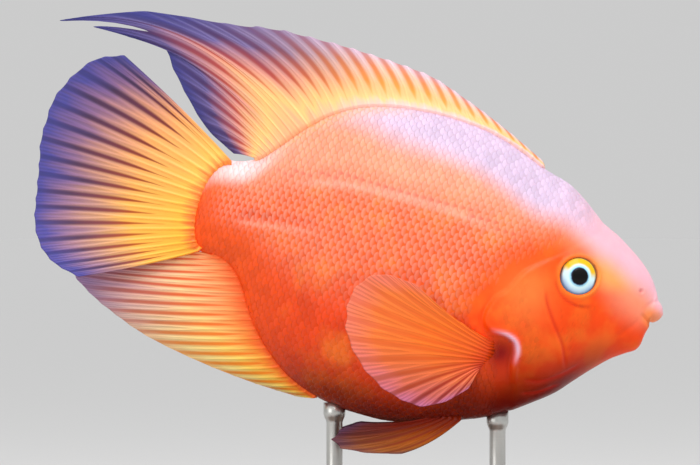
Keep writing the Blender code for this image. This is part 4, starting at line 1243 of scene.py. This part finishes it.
@dataclass
class Fin:
    """A rayed fin: a closed leaf whose rays stand proud of a thin web on both faces.

    Each key ray has a root, a bend and a tip in the side view, and a point a share v out along it
    is root (1 - v)² + 2 bend v (1 - v) + tip v². Rays between the key rays are read from smooth
    curves through the keys. Soft rays fork in two and then in four towards the margin.
    """

    name: str
    keys: list[tuple[Point, Point, Point]]
    count: int
    rows: int = 88
    per_ray: int = 14
    web: float = 0.07
    ray_height: Point = (0.34, 0.1)
    ray_width: Point = (0.34, 0.2)
    root_thick: float = 1.0
    root_fade: int = 5
    sink: float = 2.6
    notch: Point = (0.006, 0.006)
    spread: list[Point] = field(default_factory=lambda: [(0, 0), (1, 1)])
    wedge: Point = (0.2, 0.3)
    fork: Point = (0.36, 0.64)
    soft: Point = (0.0, 0.1)
    splits: list[tuple[float, float, float]] = field(default_factory=list)
    sway: float = 0.0
    ripples: float = 1.5
    ripple_depth: float = 0.5
    flare: float = 0.0
    replaces: tuple[str, ...] = ()

    def lines(self, columns: int) -> list[Array]:
        """Root, bend and tip of each column, (columns, 2)."""
        keys = np.array(self.keys, float)
        at = curve_through(self.spread, np.linspace(0, 1, columns)) * (len(keys) - 1)
        order = np.arange(len(keys))
        read = [curve_through(list(zip(order, keys[:, part, axis])), at)
                for part in range(3) for axis in range(2)]
        return [np.stack(read[2 * part : 2 * part + 2], 1) for part in range(3)]

    def forked(self, v: Array, across: Array, width: Array, soft: Array) -> Array:
        """Height of the ray pattern from 0 on the web to 1 on a crest.

        A ray is a bell curve across, in shares of the distance between rays. Its crest moves
        apart into two past the first fork and into four past the second.

        Args:
            v: Share out along the ray.
            across: Distance from the middle of the nearest ray, in ray distances.
            width: Half width of a ray, in ray distances.
            soft: 1 where rays fork and 0 on spines.

        Returns:
            The pattern's height.
        """
        first = 0.2 * smooth(v, self.fork[0], self.fork[0] + 0.38) * soft
        second = 0.105 * smooth(v, self.fork[1], self.fork[1] + 0.32) * soft
        height = np.zeros_like(across)
        for a in (-1, 1):
            for b in (-1, 1):
                height = np.maximum(height, bell(across - a * first - b * second, width))
        return height

    def side_place(self, side: int, v: Array, along: Array, root: Array, away: Array) -> Array:
        """Sideways place: a sway that grows outwards with a ripple, or a flare from the skin."""
        ripple = self.ripple_depth * v * np.sin(along * self.ripples * math.tau)
        if not self.flare:
            return self.sway * v**1.6 + ripple
        return side * (root + self.flare * away + ripple + self.sway * v**2)

    def sheet(self, across: Array, soft: Array) -> tuple[Array, Array, Array]:
        """The fin's sheet in the side view, with a first row sunk into the body.

        Args:
            across: Distance of each column from its nearest ray, in ray distances.
            soft: 1 for each column where rays fork and 0 on spines.

        Returns:
            Roots, (columns, 2), shares out along the rays, (rows + 1, columns), and points,
            (rows + 1, columns, 2).
        """
        root, bend, tip = self.lines(len(across))
        line = np.gradient(root, axis=0)
        inward = np.stack([-line[:, 1], line[:, 0]], 1)
        inward /= np.linalg.norm(inward, axis=1)[:, None]
        inward *= np.sign(np.sum(inward * (root - bend)))
        along = np.linspace(0, 1, len(across))
        edge = self.notch[0] * (1 - soft) + self.notch[1] * soft
        cut = edge * (1 - bell(across, 0.22)) + sum(
            depth * bell(along - at, wide) for at, wide, depth in self.splits)
        out = 1 - (1 - np.linspace(0, 1, self.rows)) ** 1.15
        v = out[:, None] * (1 - cut)[None, :]
        flat = (root[None] * (1 - v[..., None]) ** 2 + tip[None] * v[..., None] ** 2
                + 2 * bend[None] * (v * (1 - v))[..., None])
        flat = np.vstack([(root + inward * self.sink)[None], flat])
        return root, np.vstack([np.zeros((1, len(across))), v]), flat

    def ridges(self, v: Array, flat: Array, across: Array, soft: Array) -> Array:
        """The ray pattern on the sheet, its width in shares of the gap between the rays."""
        gaps = np.linalg.norm(np.diff(flat, axis=1), axis=2).mean(1) * self.per_ray
        width = self.ray_width[0] * (1 - v) + self.ray_width[1] * v
        width = np.clip(width / gaps[:, None], 0.05, 0.24)
        return self.forked(v, across[None, :] + 0 * v, width, soft[None, :] + 0 * v)

    def ray_share(self, v: Array, across: Array) -> Array:
        """Share of the ray's own colour: a wedge of web opens between two rays and widens out."""
        start, widest = self.wedge
        wedge = widest * smooth(v, start - 0.12, start + 0.3)
        gap = np.abs(across)[None, :]
        return 1 - smooth(gap, 0.501 - 1.25 * wedge, 0.502 - 0.3 * wedge) * (wedge > 0)

    def faces(self, middle: Array, v: Array, along: Array, pattern: Array) -> Array:
        """Front and back points: the sheet moved both ways by web, crest and thickened root."""
        normal = np.cross(np.gradient(middle, axis=0), np.gradient(middle, axis=1))
        normal /= np.maximum(np.linalg.norm(normal, axis=2, keepdims=True), 1e-9)
        crest = self.ray_height[0] * (1 - v) + self.ray_height[1] * v
        half = self.web + crest * pattern + self.root_thick / 2 * (1 - v) ** self.root_fade
        half *= smooth(np.minimum(along, 1 - along), -0.004, 0.012)[None, :]
        front = middle + normal * half[..., None]
        back = middle - normal * half[..., None]
        front[[0, -1]] = middle[[0, -1]]
        front[:, [0, -1]] = middle[:, [0, -1]]
        return front_and_back(front, back)

    def build(self, place: FishFrame, finish: bpy.types.Material, side: int = 1,
              root_y: Array | float = 0.0, name: str = "") -> bpy.types.Object:
        """Makes the fin.

        Args:
            place: Where the fish is held.
            finish: The fin's material.
            side: -1 or 1 for a paired fin.
            root_y: Distance of a paired fin's root from the middle plane, one or one a column.
            name: The piece's name, where it isn't the fin's own.

        Returns:
            The piece.
        """
        columns = self.count * self.per_ray + 1
        along = np.linspace(0, 1, columns)
        pitch = along * (self.count - 1 + 0.4) - 0.2
        across = pitch - np.clip(np.round(pitch), 0, self.count - 1)
        soft = smooth(along, self.soft[0], self.soft[1])
        root, v, flat = self.sheet(across, soft)
        pattern = self.ridges(v, flat, across, soft)
        away = np.linalg.norm(flat - root[None], axis=2)
        away[0] *= -1
        from_middle = np.broadcast_to(root_y, (columns,))[None, :]
        y = self.side_place(side, v, along[None, :], from_middle, away)
        middle = np.stack([flat[..., 0], y, flat[..., 1]], -1)
        world = place.world(self.faces(middle, v, along, pattern))
        net = leaf_net(self.rows + 1, columns).outward(world)
        values = {"out": v, "along": along[None, :] + 0 * v, "ray": pattern,
                  "band": self.ray_share(v, across), "pitch": pitch[None, :] + 0 * v}
        numbers = {label: front_and_back(grid, grid) for label, grid in values.items()}
        word = name or self.name
        piece = make_piece(word + "_rays", world, net, self.replaces or (word,), numbers)
        piece.data.materials.append(finish)
        return piece


@dataclass
class Fins:
    """All seven fins."""

    body: BodyForm
    place: FishFrame

    def dorsal(self) -> Fin:
        """The long back fin, low over the nape and drawn out behind into a streamer."""
        return Fin("dorsal_fin", [
            ((99.0, 40.5), (98.6, 41.6), (97.8, 42.5)),
            ((88.0, 45.2), (86.5, 47.4), (83.5, 49.3)),
            ((76.0, 48.0), (73.5, 51.8), (69.5, 55.0)),
            ((64.0, 48.7), (61.0, 54.5), (55.5, 59.4)),
            ((52.0, 47.9), (48.5, 55.5), (41.5, 60.6)),
            ((42.0, 45.8), (37.0, 55.0), (27.0, 61.2)),
            ((34.0, 42.2), (26.0, 54.5), (10.0, 61.0)),
            ((28.5, 38.4), (16.0, 53.5), (-9.0, 58.3)),
            ((24.5, 34.5), (2.0, 53.5), (-32.0, 55.8)),
            ((21.5, 31.2), (-20.0, 63.0), (-59.0, 45.6)),
            ((19.0, 28.2), (-12.0, 52.0), (-46.0, 46.6)),
            ((17.0, 25.8), (-4.0, 41.5), (-26.0, 46.4)),
            ((15.4, 23.9), (-2.0, 35.5), (-20.6, 40.6)),
            ((14.0, 22.4), (1.0, 29.6), (-13.6, 32.8)),
            ((12.6, 21.2), (4.0, 24.4), (-5.0, 24.9)),
            ((11.0, 20.2), (8.0, 20.6), (4.5, 19.9)),
        ], 30, per_ray=16, rows=76, soft=(0.54, 0.62), notch=(0.03, 0.008), sway=2.0,
            root_thick=4.4, root_fade=11, spread=[(0, 0), (0.3, 0.22), (0.62, 0.5), (1, 1)],
            wedge=(0.18, 0.27), fork=(0.5, 0.76), splits=[(0.735, 0.008, 0.3)],
            replaces=("dorsal_fin", "dorsal_streamer"))

    def tail(self) -> Fin:
        """The fan of the tail, swung a little to the right."""
        return Fin("tail_fin", [
            ((4.5, 17.6), (-13.0, 29.0), (-36.0, 40.6)),
            ((2.0, 16.4), (-17.0, 28.6), (-43.6, 37.6)),
            ((0.0, 13.6), (-22.0, 23.6), (-50.6, 29.0)),
            ((-1.4, 10.0), (-25.0, 16.6), (-54.0, 19.6)),
            ((-2.2, 6.4), (-26.0, 9.6), (-54.3, 10.0)),
            ((-2.6, 3.0), (-26.0, 3.4), (-52.8, 1.0)),
            ((-2.6, -0.6), (-26.0, -2.6), (-51.3, -7.6)),
            ((-2.2, -4.4), (-25.0, -9.0), (-49.8, -15.6)),
            ((-1.4, -7.8), (-22.0, -14.6), (-45.6, -23.4)),
            ((-0.2, -10.6), (-18.0, -18.6), (-39.4, -27.6)),
            ((2.0, -12.3), (-13.0, -21.0), (-32.0, -29.4)),
        ], 17, per_ray=16, sway=-5.0, ripples=2.0, root_thick=5.0, root_fade=9, sink=3.0,
            wedge=(0.26, 0.2), ray_height=(0.36, 0.1), ray_width=(0.42, 0.22))

    def anal(self) -> Fin:
        """The fin under the tail stalk, whose tip passes behind the tail."""
        return Fin("anal_fin", [
            ((49.0, -46.6), (46.5, -47.4), (43.5, -47.8)),
            ((43.0, -44.7), (38.5, -46.6), (32.0, -47.4)),
            ((36.5, -41.5), (28.5, -44.6), (19.0, -46.3)),
            ((31.0, -37.4), (18.5, -41.6), (5.0, -44.3)),
            ((26.5, -33.0), (10.5, -37.8), (-8.0, -41.5)),
            ((22.8, -28.5), (4.0, -33.6), (-18.0, -37.9)),
            ((19.8, -23.8), (-2.0, -29.4), (-27.0, -33.8)),
            ((17.2, -19.6), (-6.0, -25.4), (-34.0, -28.6)),
            ((14.0, -15.8), (-5.0, -20.8), (-30.0, -25.4)),
            ((10.0, -13.0), (-3.0, -16.0), (-22.0, -21.0)),
            ((6.0, -11.8), (0.0, -11.9), (-11.0, -15.2)),
        ], 19, per_ray=14, sway=5.0, soft=(0.35, 0.45), root_thick=2.4, root_fade=8,
            wedge=(0.12, 0.25))

    def pectoral(self) -> Fin:
        """A side fin, spread like a fan and standing off behind."""
        return Fin("pectoral_fin", [
            ((95.6, -15.0), (86.0, -12.8), (76.0, -9.0)),
            ((95.6, -16.0), (82.0, -12.2), (68.5, -4.4)),
            ((95.6, -17.0), (78.0, -12.8), (60.0, -3.7)),
            ((95.6, -18.2), (75.0, -14.6), (53.0, -7.4)),
            ((95.5, -19.4), (73.0, -17.8), (50.4, -14.5)),
            ((95.3, -20.5), (73.5, -21.2), (51.5, -22.0)),
            ((95.1, -21.5), (75.0, -24.6), (56.0, -29.3)),
            ((94.9, -22.4), (79.0, -27.6), (63.0, -35.4)),
            ((94.8, -23.2), (83.0, -29.6), (71.0, -39.2)),
            ((94.8, -23.9), (87.0, -30.6), (79.0, -40.5)),
            ((94.8, -24.4), (91.5, -30.0), (86.8, -37.4)),
            ((94.9, -24.8), (94.5, -28.0), (93.3, -31.4)),
        ], 14, rows=64, per_ray=14, flare=math.tan(math.radians(21)), ripple_depth=0.35,
            ripples=2.5, root_thick=0.7, web=0.06, ray_height=(0.2, 0.06),
            ray_width=(0.3, 0.18), notch=(0.012, 0.012), wedge=(0.06, 0.2))

    def pelvic(self) -> Fin:
        """A belly fin, folded narrow behind its spine."""
        return Fin("pelvic_fin", [
            ((94.0, -41.4), (87.4, -51.4), (78.6, -56.4)),
            ((92.0, -42.0), (81.6, -54.6), (68.0, -58.8)),
            ((90.0, -42.2), (76.6, -54.8), (60.4, -59.5)),
            ((88.0, -42.6), (73.0, -53.2), (56.6, -57.4)),
            ((86.2, -43.0), (72.0, -50.8), (58.6, -53.6)),
            ((84.6, -43.4), (73.0, -48.8), (64.0, -50.2)),
        ], 6, rows=60, per_ray=18, flare=math.tan(math.radians(10)), ripple_depth=0.3,
            root_thick=0.9, ray_height=(0.36, 0.1), ray_width=(0.42, 0.2),
            notch=(0.03, 0.03), wedge=(0.1, 0.2))

    def build(self) -> list[bpy.types.Object]:
        """Makes every fin with its finish."""
        made = [self.dorsal().build(self.place, DORSAL_FINISH.material()),
                self.tail().build(self.place, TAIL_FINISH.material()),
                self.anal().build(self.place, ANAL_FINISH.material())]
        pectoral, pelvic = self.pectoral(), self.pelvic()
        side_finish, belly_finish = PECTORAL_FINISH.material(), PELVIC_FINISH.material()
        columns = pectoral.count * pectoral.per_ray + 1
        roots = pectoral.lines(columns)[0]
        start = np.array([self.body.flank(x, z) - 0.6 for x, z in roots])
        for side in Side:
            made.append(pectoral.build(self.place, side_finish, side.value, start,
                                       f"pectoral_fin_{side.word}"))
            made.append(pelvic.build(self.place, belly_finish, side.value, 6.0,
                                     f"pelvic_fin_{side.word}"))
        return made


DORSAL_FINISH = FinFinish(
    "dorsal_web",
    ((250, 200, 196), (255, 200, 132), (255, 198, 134), (250, 196, 172), (234, 196, 212)),
    ((253, 176, 130), (255, 200, 124), (226, 148, 130), (106, 92, 146), (62, 60, 128)),
    ((250, 196, 192), (255, 192, 116), (255, 158, 66), (242, 136, 78), (206, 140, 142)),
    ((253, 168, 116), (250, 158, 88), (184, 76, 66), (74, 50, 98), (58, 58, 126)),
    (0.34, 0.66), 0.1, (0.0, 0.12, 0.36, 0.68, 0.96))
TAIL_FINISH = FinFinish(
    "tail_web",
    ((253, 140, 64), (255, 190, 86), (255, 172, 104), (132, 96, 134), (76, 72, 144)),
    ((252, 116, 40), (255, 182, 56), (255, 186, 78), (172, 126, 140), (84, 78, 158)),
    ((252, 134, 58), (250, 166, 66), (128, 50, 40), (70, 46, 82), (60, 58, 130)),
    ((250, 110, 34), (250, 164, 46), (184, 82, 28), (94, 62, 90), (66, 64, 142)),
    (0.1, 0.9), 0.15, (0.0, 0.07, 0.4, 0.76, 0.97))
ANAL_FINISH = FinFinish(
    "anal_web",
    ((253, 100, 26), (255, 146, 38), (255, 208, 88), (255, 228, 140), (255, 206, 130)),
    ((250, 98, 36), (255, 146, 84), (255, 200, 142), (200, 148, 158), (144, 112, 156)),
    ((251, 90, 18), (255, 120, 24), (253, 142, 30), (248, 146, 38), (250, 168, 70)),
    ((248, 86, 26), (252, 114, 52), (228, 100, 54), (170, 92, 92), (140, 104, 146)),
    (0.2, 0.7), 0.15)
PECTORAL_FINISH = FinFinish(
    "pectoral_web",
    ((226, 70, 14), (244, 98, 26), (254, 116, 30), (255, 124, 54), (246, 124, 96)),
    ((200, 54, 20), (226, 88, 44), (224, 106, 58), (196, 94, 88), (184, 100, 136)),
    ((220, 60, 12), (240, 88, 18), (253, 106, 24), (255, 118, 52), (250, 124, 94)),
    ((170, 34, 10), (190, 50, 16), (172, 44, 14), (150, 42, 34), (146, 58, 78)),
    (0.45, 0.85), 0.22)
# The pelvic fins' colours are darkened throughout as painted shade under the belly.
PELVIC_FINISH = FinFinish(
    "pelvic_web",
    ((140, 40, 8), (160, 56, 8), (196, 100, 20), (184, 106, 42), (146, 90, 76)),
    ((130, 30, 6), (144, 36, 6), (132, 38, 10), (112, 44, 38), (88, 50, 78)),
    ((132, 34, 6), (150, 40, 6), (176, 68, 12), (160, 76, 30), (112, 62, 64)),
    ((120, 24, 4), (128, 26, 4), (116, 26, 6), (98, 32, 26), (78, 40, 68)), (0.2, 0.8), 0.1)


@dataclass(frozen=True)
class EyeFinish:
    """Colours of the eye, read by distance from its middle and by direction."""

    pupil: Colour = (6, 2, 12)
    pupil_rim: Colour = (16, 18, 70)
    iris_inner: Colour = (150, 214, 244)
    iris: Colour = (214, 248, 255)
    # The blue used as painted shade on the iris's lower part.
    shade: Colour = (90, 164, 232)
    crescent: Colour = (236, 188, 22)
    outer: Colour = (96, 82, 84)

    def material(self) -> bpy.types.Material:
        """A wet, clear-coated eye with a pale iris and a yellow crescent over the pupil."""
        g = Graph("eye")
        away, high = g.number("away"), g.number("high")
        wave = g.spread(g.noise(900, 3), -0.03, 0.03)
        reach = g.maths("ADD", away, wave)
        stops = [(0.0, self.pupil), (0.41, self.pupil), (0.45, self.pupil_rim),
                 (0.5, self.iris_inner), (0.6, self.iris), (0.86, self.iris),
                 (0.965, self.outer), (1.0, self.outer)]
        colour = g.ramp(reach, stops)
        # Painted shade: the lower part of the iris is darkened to blue.
        low = g.times(g.clipped(reach, 0.6, 0.95), g.clipped(high, 0.5, 0.15))
        colour = g.mix(g.times(low, 0.7), colour, linear(self.shade))
        band = g.times(g.clipped(reach, 0.58, 0.74), g.clipped(reach, 0.985, 0.94))
        yellow = g.times(band, g.clipped(high, 0.5, 0.76))
        colour = g.mix(yellow, colour, linear(self.crescent))
        g.shade(Base_Color=colour, Roughness=0.35, Specular_IOR_Level=0.12, Coat_Weight=0.2,
                Coat_Roughness=0.03, Normal=g.bump(g.noise(1500, 3), 0.00004, 0.4))
        return g.material


@dataclass
class Eye:
    """An eyeball: a low dome with a raised lens, closed behind."""

    seat: EyeSeat
    place: FishFrame
    around: int = 96
    dome: float = 1.9
    lens_bulge: float = 0.35
    lens: float = 2.7
    back: float = 3.4
    sunk: float = 0.55

    def profile(self) -> tuple[Array, Array]:
        """Distance from the axis and height of the rings, from the front's middle to the back's."""
        r = np.linspace(0.15, 1, 40) * self.seat.radius
        front = self.dome * (1 - (r / self.seat.radius) ** 2) ** 0.9
        front += self.lens_bulge * smooth(r, self.lens + 0.35, self.lens - 0.5)
        turn = np.linspace(0, math.pi / 2, 14)[1:-1]
        behind = (self.seat.radius * np.cos(turn), -self.back * np.sin(turn))
        return np.concatenate([r, behind[0]]), np.concatenate([front, behind[1]]) - self.sunk

    def build(self, side: Side, finish: bpy.types.Material) -> bpy.types.Object:
        """Makes one eye.

        Args:
            side: The side of the fish.
            finish: Its material.

        Returns:
            The piece.
        """
        look = self.seat.direction(side)
        forward = np.array([1.0, 0, 0]) - look * look[0]
        forward /= np.linalg.norm(forward)
        up = np.cross(forward, look)
        up *= math.copysign(1.0, up[2])
        radius, height = self.profile()
        angle = np.arange(self.around) / self.around * math.tau
        r, a = np.meshgrid(radius, angle, indexing="ij")
        h = np.repeat(height[:, None], self.around, 1)
        offset = (forward * (r * np.cos(a))[..., None] + up * (r * np.sin(a))[..., None]
                  + look * h[..., None])
        ends = np.stack([look * (height[0] + 0.002), look * (-self.back - self.sunk)])
        points = np.vstack([offset.reshape(-1, 3), ends]) + self.seat.centre(side)
        away = r / self.seat.radius
        inside = np.cumsum(np.ones_like(r), axis=0) > 40
        away = np.where(inside, 1.0, away)
        high = 0.5 + 0.5 * np.cos(a - math.radians(92))
        numbers = {"away": np.append(away.ravel(), [0.0, 1.0]),
                   "high": np.append(high.ravel(), [0.5, 0.5])}
        world = self.place.world(points)
        net = ring_net(len(radius), self.around).outward(world)
        name = f"eye_{side.word}"
        piece = make_piece(name + "_ball", world, net, (name,), numbers)
        piece.data.materials.append(finish)
        return piece


@dataclass(frozen=True)
class WoodFinish:
    """Oiled dark walnut with the grain along the base."""

    light: Colour = (122, 82, 54)
    dark: Colour = (58, 36, 24)

    def material(self) -> bpy.types.Material:
        """Long wavering grain over fine pores."""
        g = Graph("walnut")
        long_way = g.mapped((14, 120, 90))
        grain = g.noise(1.6, 6, long_way)
        rings = g.maths("PINGPONG", g.times(grain, 9.0), 1.0)
        pores = g.noise(1.0, 2, g.mapped((160, 2200, 2200)))
        colour = g.mix(rings, linear(self.dark), linear(self.light))
        colour = g.tinted(colour, g.spread(pores, 0.72, 1.2))
        g.shade(Base_Color=colour, Roughness=g.spread(pores, 0.3, 0.52), Coat_Weight=0.25,
                Coat_Roughness=0.2, Normal=g.bump(pores, 0.00008, 0.5))
        return g.material


@dataclass(frozen=True)
class SteelFinish:
    """Satin steel, turned on a lathe."""

    colour: Colour = (196, 196, 192)

    def material(self) -> bpy.types.Material:
        """Fine turning lines round the rod."""
        g = Graph("satin_steel")
        lines = g.noise(1.0, 3, g.mapped((40, 40, 5200)))
        colour = g.tinted(linear(self.colour), g.spread(lines, 0.86, 1.08))
        g.shade(Base_Color=colour, Metallic=1.0, Roughness=g.spread(lines, 0.24, 0.42),
                Normal=g.bump(lines, 0.00003, 0.4))
        return g.material


@dataclass
class DisplayStand:
    """A flat wooden base and two turned steel rods up to the belly."""

    body: BodyForm
    place: FishFrame
    size: tuple[float, float, float] = (124.0, 80.0, 9.0)
    corner: float = 4.0
    edge: float = 2.5
    rod_radius: float = 2.5
    foot: tuple[float, float] = (6.0, 2.2)
    pad: tuple[float, float] = (3.4, 5.0)
    rods: tuple[tuple[str, float], ...] = (("stand_rod_front", 104.5), ("stand_rod_rear", 55.0))

    def base(self) -> bpy.types.Object:
        """The base: a profile with a rounded top edge, carried round a soft rectangle."""
        length, width, high = self.size
        turn = np.linspace(0, math.pi / 2, 9)
        inset = np.concatenate([[24, 8, 1.2, 0.4, 0.0], [0.0],
                                self.edge * (1 - np.cos(turn)), [6, 12, 24]])
        level = np.concatenate([[0, 0, 0, 0.15, 0.7], [1.6],
                                high - self.edge + self.edge * np.sin(turn), [high] * 3])
        corners = []
        for k, (sx, sy) in enumerate(((1, 1), (-1, 1), (-1, -1), (1, -1))):
            angle = k * math.pi / 2 + np.linspace(0, math.pi / 2, 13)
            centre = np.array([sx * (length / 2 - self.corner), sy * (width / 2 - self.corner)])
            corners.append(np.stack([np.cos(angle), np.sin(angle)], 1) * self.corner + centre)
        path = np.vstack(corners)
        along = np.roll(path, -1, 0) - np.roll(path, 1, 0)
        inward = np.stack([-along[:, 1], along[:, 0]], 1)
        inward /= np.linalg.norm(inward, axis=1)[:, None]
        rings = []
        for back, z in zip(inset, level):
            step = min(back, self.corner - 0.5)
            ring = path + inward * step
            if back > step:
                shrink = 1 - (back - step) / np.array([length / 2, width / 2])
                ring = ring * shrink
            rings.append(np.column_stack([ring, np.full(len(path), z)]))
        points = np.vstack([*rings, [[0, 0, 0], [0, 0, high]]]) * MM
        net = ring_net(len(rings), len(path)).outward(points)
        return make_piece("stand_base_walnut", points, net, ("stand_base",))

    def rod(self, name: str, under: float) -> bpy.types.Object:
        """A rod: a turned profile from its foot to a pad sunk a little into the belly."""
        bottom = float(curve_through(self.body.belly, np.array(under)))
        touch = self.place.turn(np.array([under, 0.0, bottom])) + self.place.tail_root
        foot = self.size[2] + 0.02
        top = float(touch[2])
        bead = np.linspace(0, math.pi / 2, 8)
        r = np.concatenate([[self.foot[0] - 0.4], self.foot[0] - 0.6 + 0.6 * np.cos(bead),
                            [4.4, 3.4, 2.8, self.rod_radius, self.rod_radius, 2.7, 3.1],
                            [self.pad[0], self.pad[0]]])
        z = np.concatenate([[foot], foot + 1.0 + 0.6 * np.sin(bead),
                            [foot + 2.1, foot + 2.7, foot + 3.6, foot + 5.0,
                             top - self.pad[1], top - self.pad[1] + 0.8,
                             top - self.pad[1] + 1.6], [top - 2.4, top + 1.2]])
        angle = np.arange(64) / 64 * math.tau
        rings = [np.column_stack([radius * np.cos(angle), radius * np.sin(angle),
                                  np.full(64, height)]) for radius, height in zip(r, z)]
        points = np.vstack([*rings, [[0, 0, z[0]], [0, 0, z[-1]]]])
        points = (points + [float(touch[0]), 0, 0]) * MM
        net = ring_net(len(r), 64).outward(points)
        return make_piece(name + "_steel", points, net, (name,))

    def build(self) -> list[bpy.types.Object]:
        """Makes the base and both rods."""
        base = self.base()
        base.data.materials.append(WoodFinish().material())
        steel = SteelFinish().material()
        made = [self.rod(name, under) for name, under in self.rods]
        for rod in made:
            rod.data.materials.append(steel)
        return [base, *made]


@dataclass
class Studio:
    """Plain pale floor, soft lights and the camera."""

    picture_width: float = 217.0
    middle: Point = (-17.9, 90.6)
    lens: float = 400.0
    sensor: float = 36.0
    floor_radius: float = 120.0
    floor_shade: float = 0.6
    horizon: float = 0.6
    overhead: float = 1.05

    def camera(self) -> None:
        """A long lens, level and square to the right side, as in the photograph."""
        data = bpy.data.cameras.new("camera")
        data.lens, data.sensor_width = self.lens, self.sensor
        data.clip_start, data.clip_end = 0.05, 400.0
        made = bpy.data.objects.new("camera", data)
        away = self.picture_width * MM * self.lens / self.sensor
        made.location = (self.middle[0] * MM, -away, self.middle[1] * MM)
        made.rotation_euler = (math.pi / 2, 0, 0)
        bpy.context.scene.collection.objects.link(made)
        bpy.context.scene.camera = made

    def floor(self) -> None:
        """A wide round floor under the stand."""
        angle = np.arange(64) / 64 * math.tau
        points = np.column_stack([np.cos(angle), np.sin(angle), np.zeros(64)]) * self.floor_radius
        mesh = bpy.data.meshes.new("floor")
        mesh.from_pydata(points.tolist(), [], [list(range(64))])
        made = bpy.data.objects.new("floor", mesh)
        bpy.context.scene.collection.objects.link(made)
        g = Graph("pale_floor")
        g.shade(Base_Color=(self.floor_shade, self.floor_shade, self.floor_shade, 1),
                Roughness=0.8)
        mesh.materials.append(g.material)

    def light(self, name: str, at: tuple[float, float, float], size: float, power: float,
              colour: tuple[float, float, float] = (1, 1, 1)) -> None:
        """A square soft light that faces the fish."""
        data = bpy.data.lights.new(name, "AREA")
        data.size, data.energy, data.color = size, power, colour
        made = bpy.data.objects.new(name, data)
        made.location = at
        target = np.array([0.0, 0.0, 0.09])
        away = np.array(at) - target
        flat = math.hypot(away[0], away[1])
        made.rotation_euler = (math.atan2(flat, away[2]), 0,
                               math.atan2(away[1], away[0]) + math.pi / 2)
        bpy.context.scene.collection.objects.link(made)

    def build(self) -> None:
        """Sets up the studio."""
        self.camera()
        self.floor()
        self.light("key", (0.2, -0.6, 0.95), 0.6, 6.0, (1.0, 0.985, 0.97))
        self.light("fill", (-1.0, -0.9, 0.3), 0.8, 4.0, (1.0, 0.99, 0.98))
        self.sky()
        bpy.context.scene.view_settings.view_transform = "Standard"

    def sky(self) -> None:
        """Soft light from all round, brighter overhead, and at the horizon as dark as the floor."""
        world = bpy.data.worlds.new("studio")
        world.use_nodes = True
        nodes, links = world.node_tree.nodes, world.node_tree.links
        parts = nodes.new("ShaderNodeSeparateXYZ")
        links.new(nodes.new("ShaderNodeTexCoord").outputs["Generated"], parts.inputs["Vector"])
        rise = nodes.new("ShaderNodeMapRange")
        rise.interpolation_type = "SMOOTHSTEP"
        for name, value in (("From Min", 0.05), ("From Max", 0.8), ("To Min", self.horizon),
                            ("To Max", self.overhead)):
            rise.inputs[name].default_value = value
        links.new(parts.outputs["Z"], rise.inputs["Value"])
        links.new(rise.outputs["Result"], nodes["Background"].inputs["Strength"])
        nodes["Background"].inputs["Color"].default_value = (1, 1, 1, 1)
        bpy.context.scene.world = world


def main() -> None:
    """Builds the studio, the fish and its stand."""
    logging.basicConfig(level=logging.INFO, format="%(message)s")
    Studio().build()
    place, body = FishFrame(), BodyForm()
    seat = EyeSeat(body)
    relief = FaceRelief(body, seat)
    markings = Markings(body, relief)
    finish = SkinFinish()
    Skin(body, relief, markings, place).build(finish)
    ScaleCoat(body, relief, markings, place).build(finish)
    FaceScales(body, relief, markings, place).build(finish)
    Fins(body, place).build()
    eye_finish = EyeFinish().material()
    for side in Side:
        Eye(seat, place).build(side, eye_finish)
    DisplayStand(body, place).build()


if __name__ == "__main__":
    main()
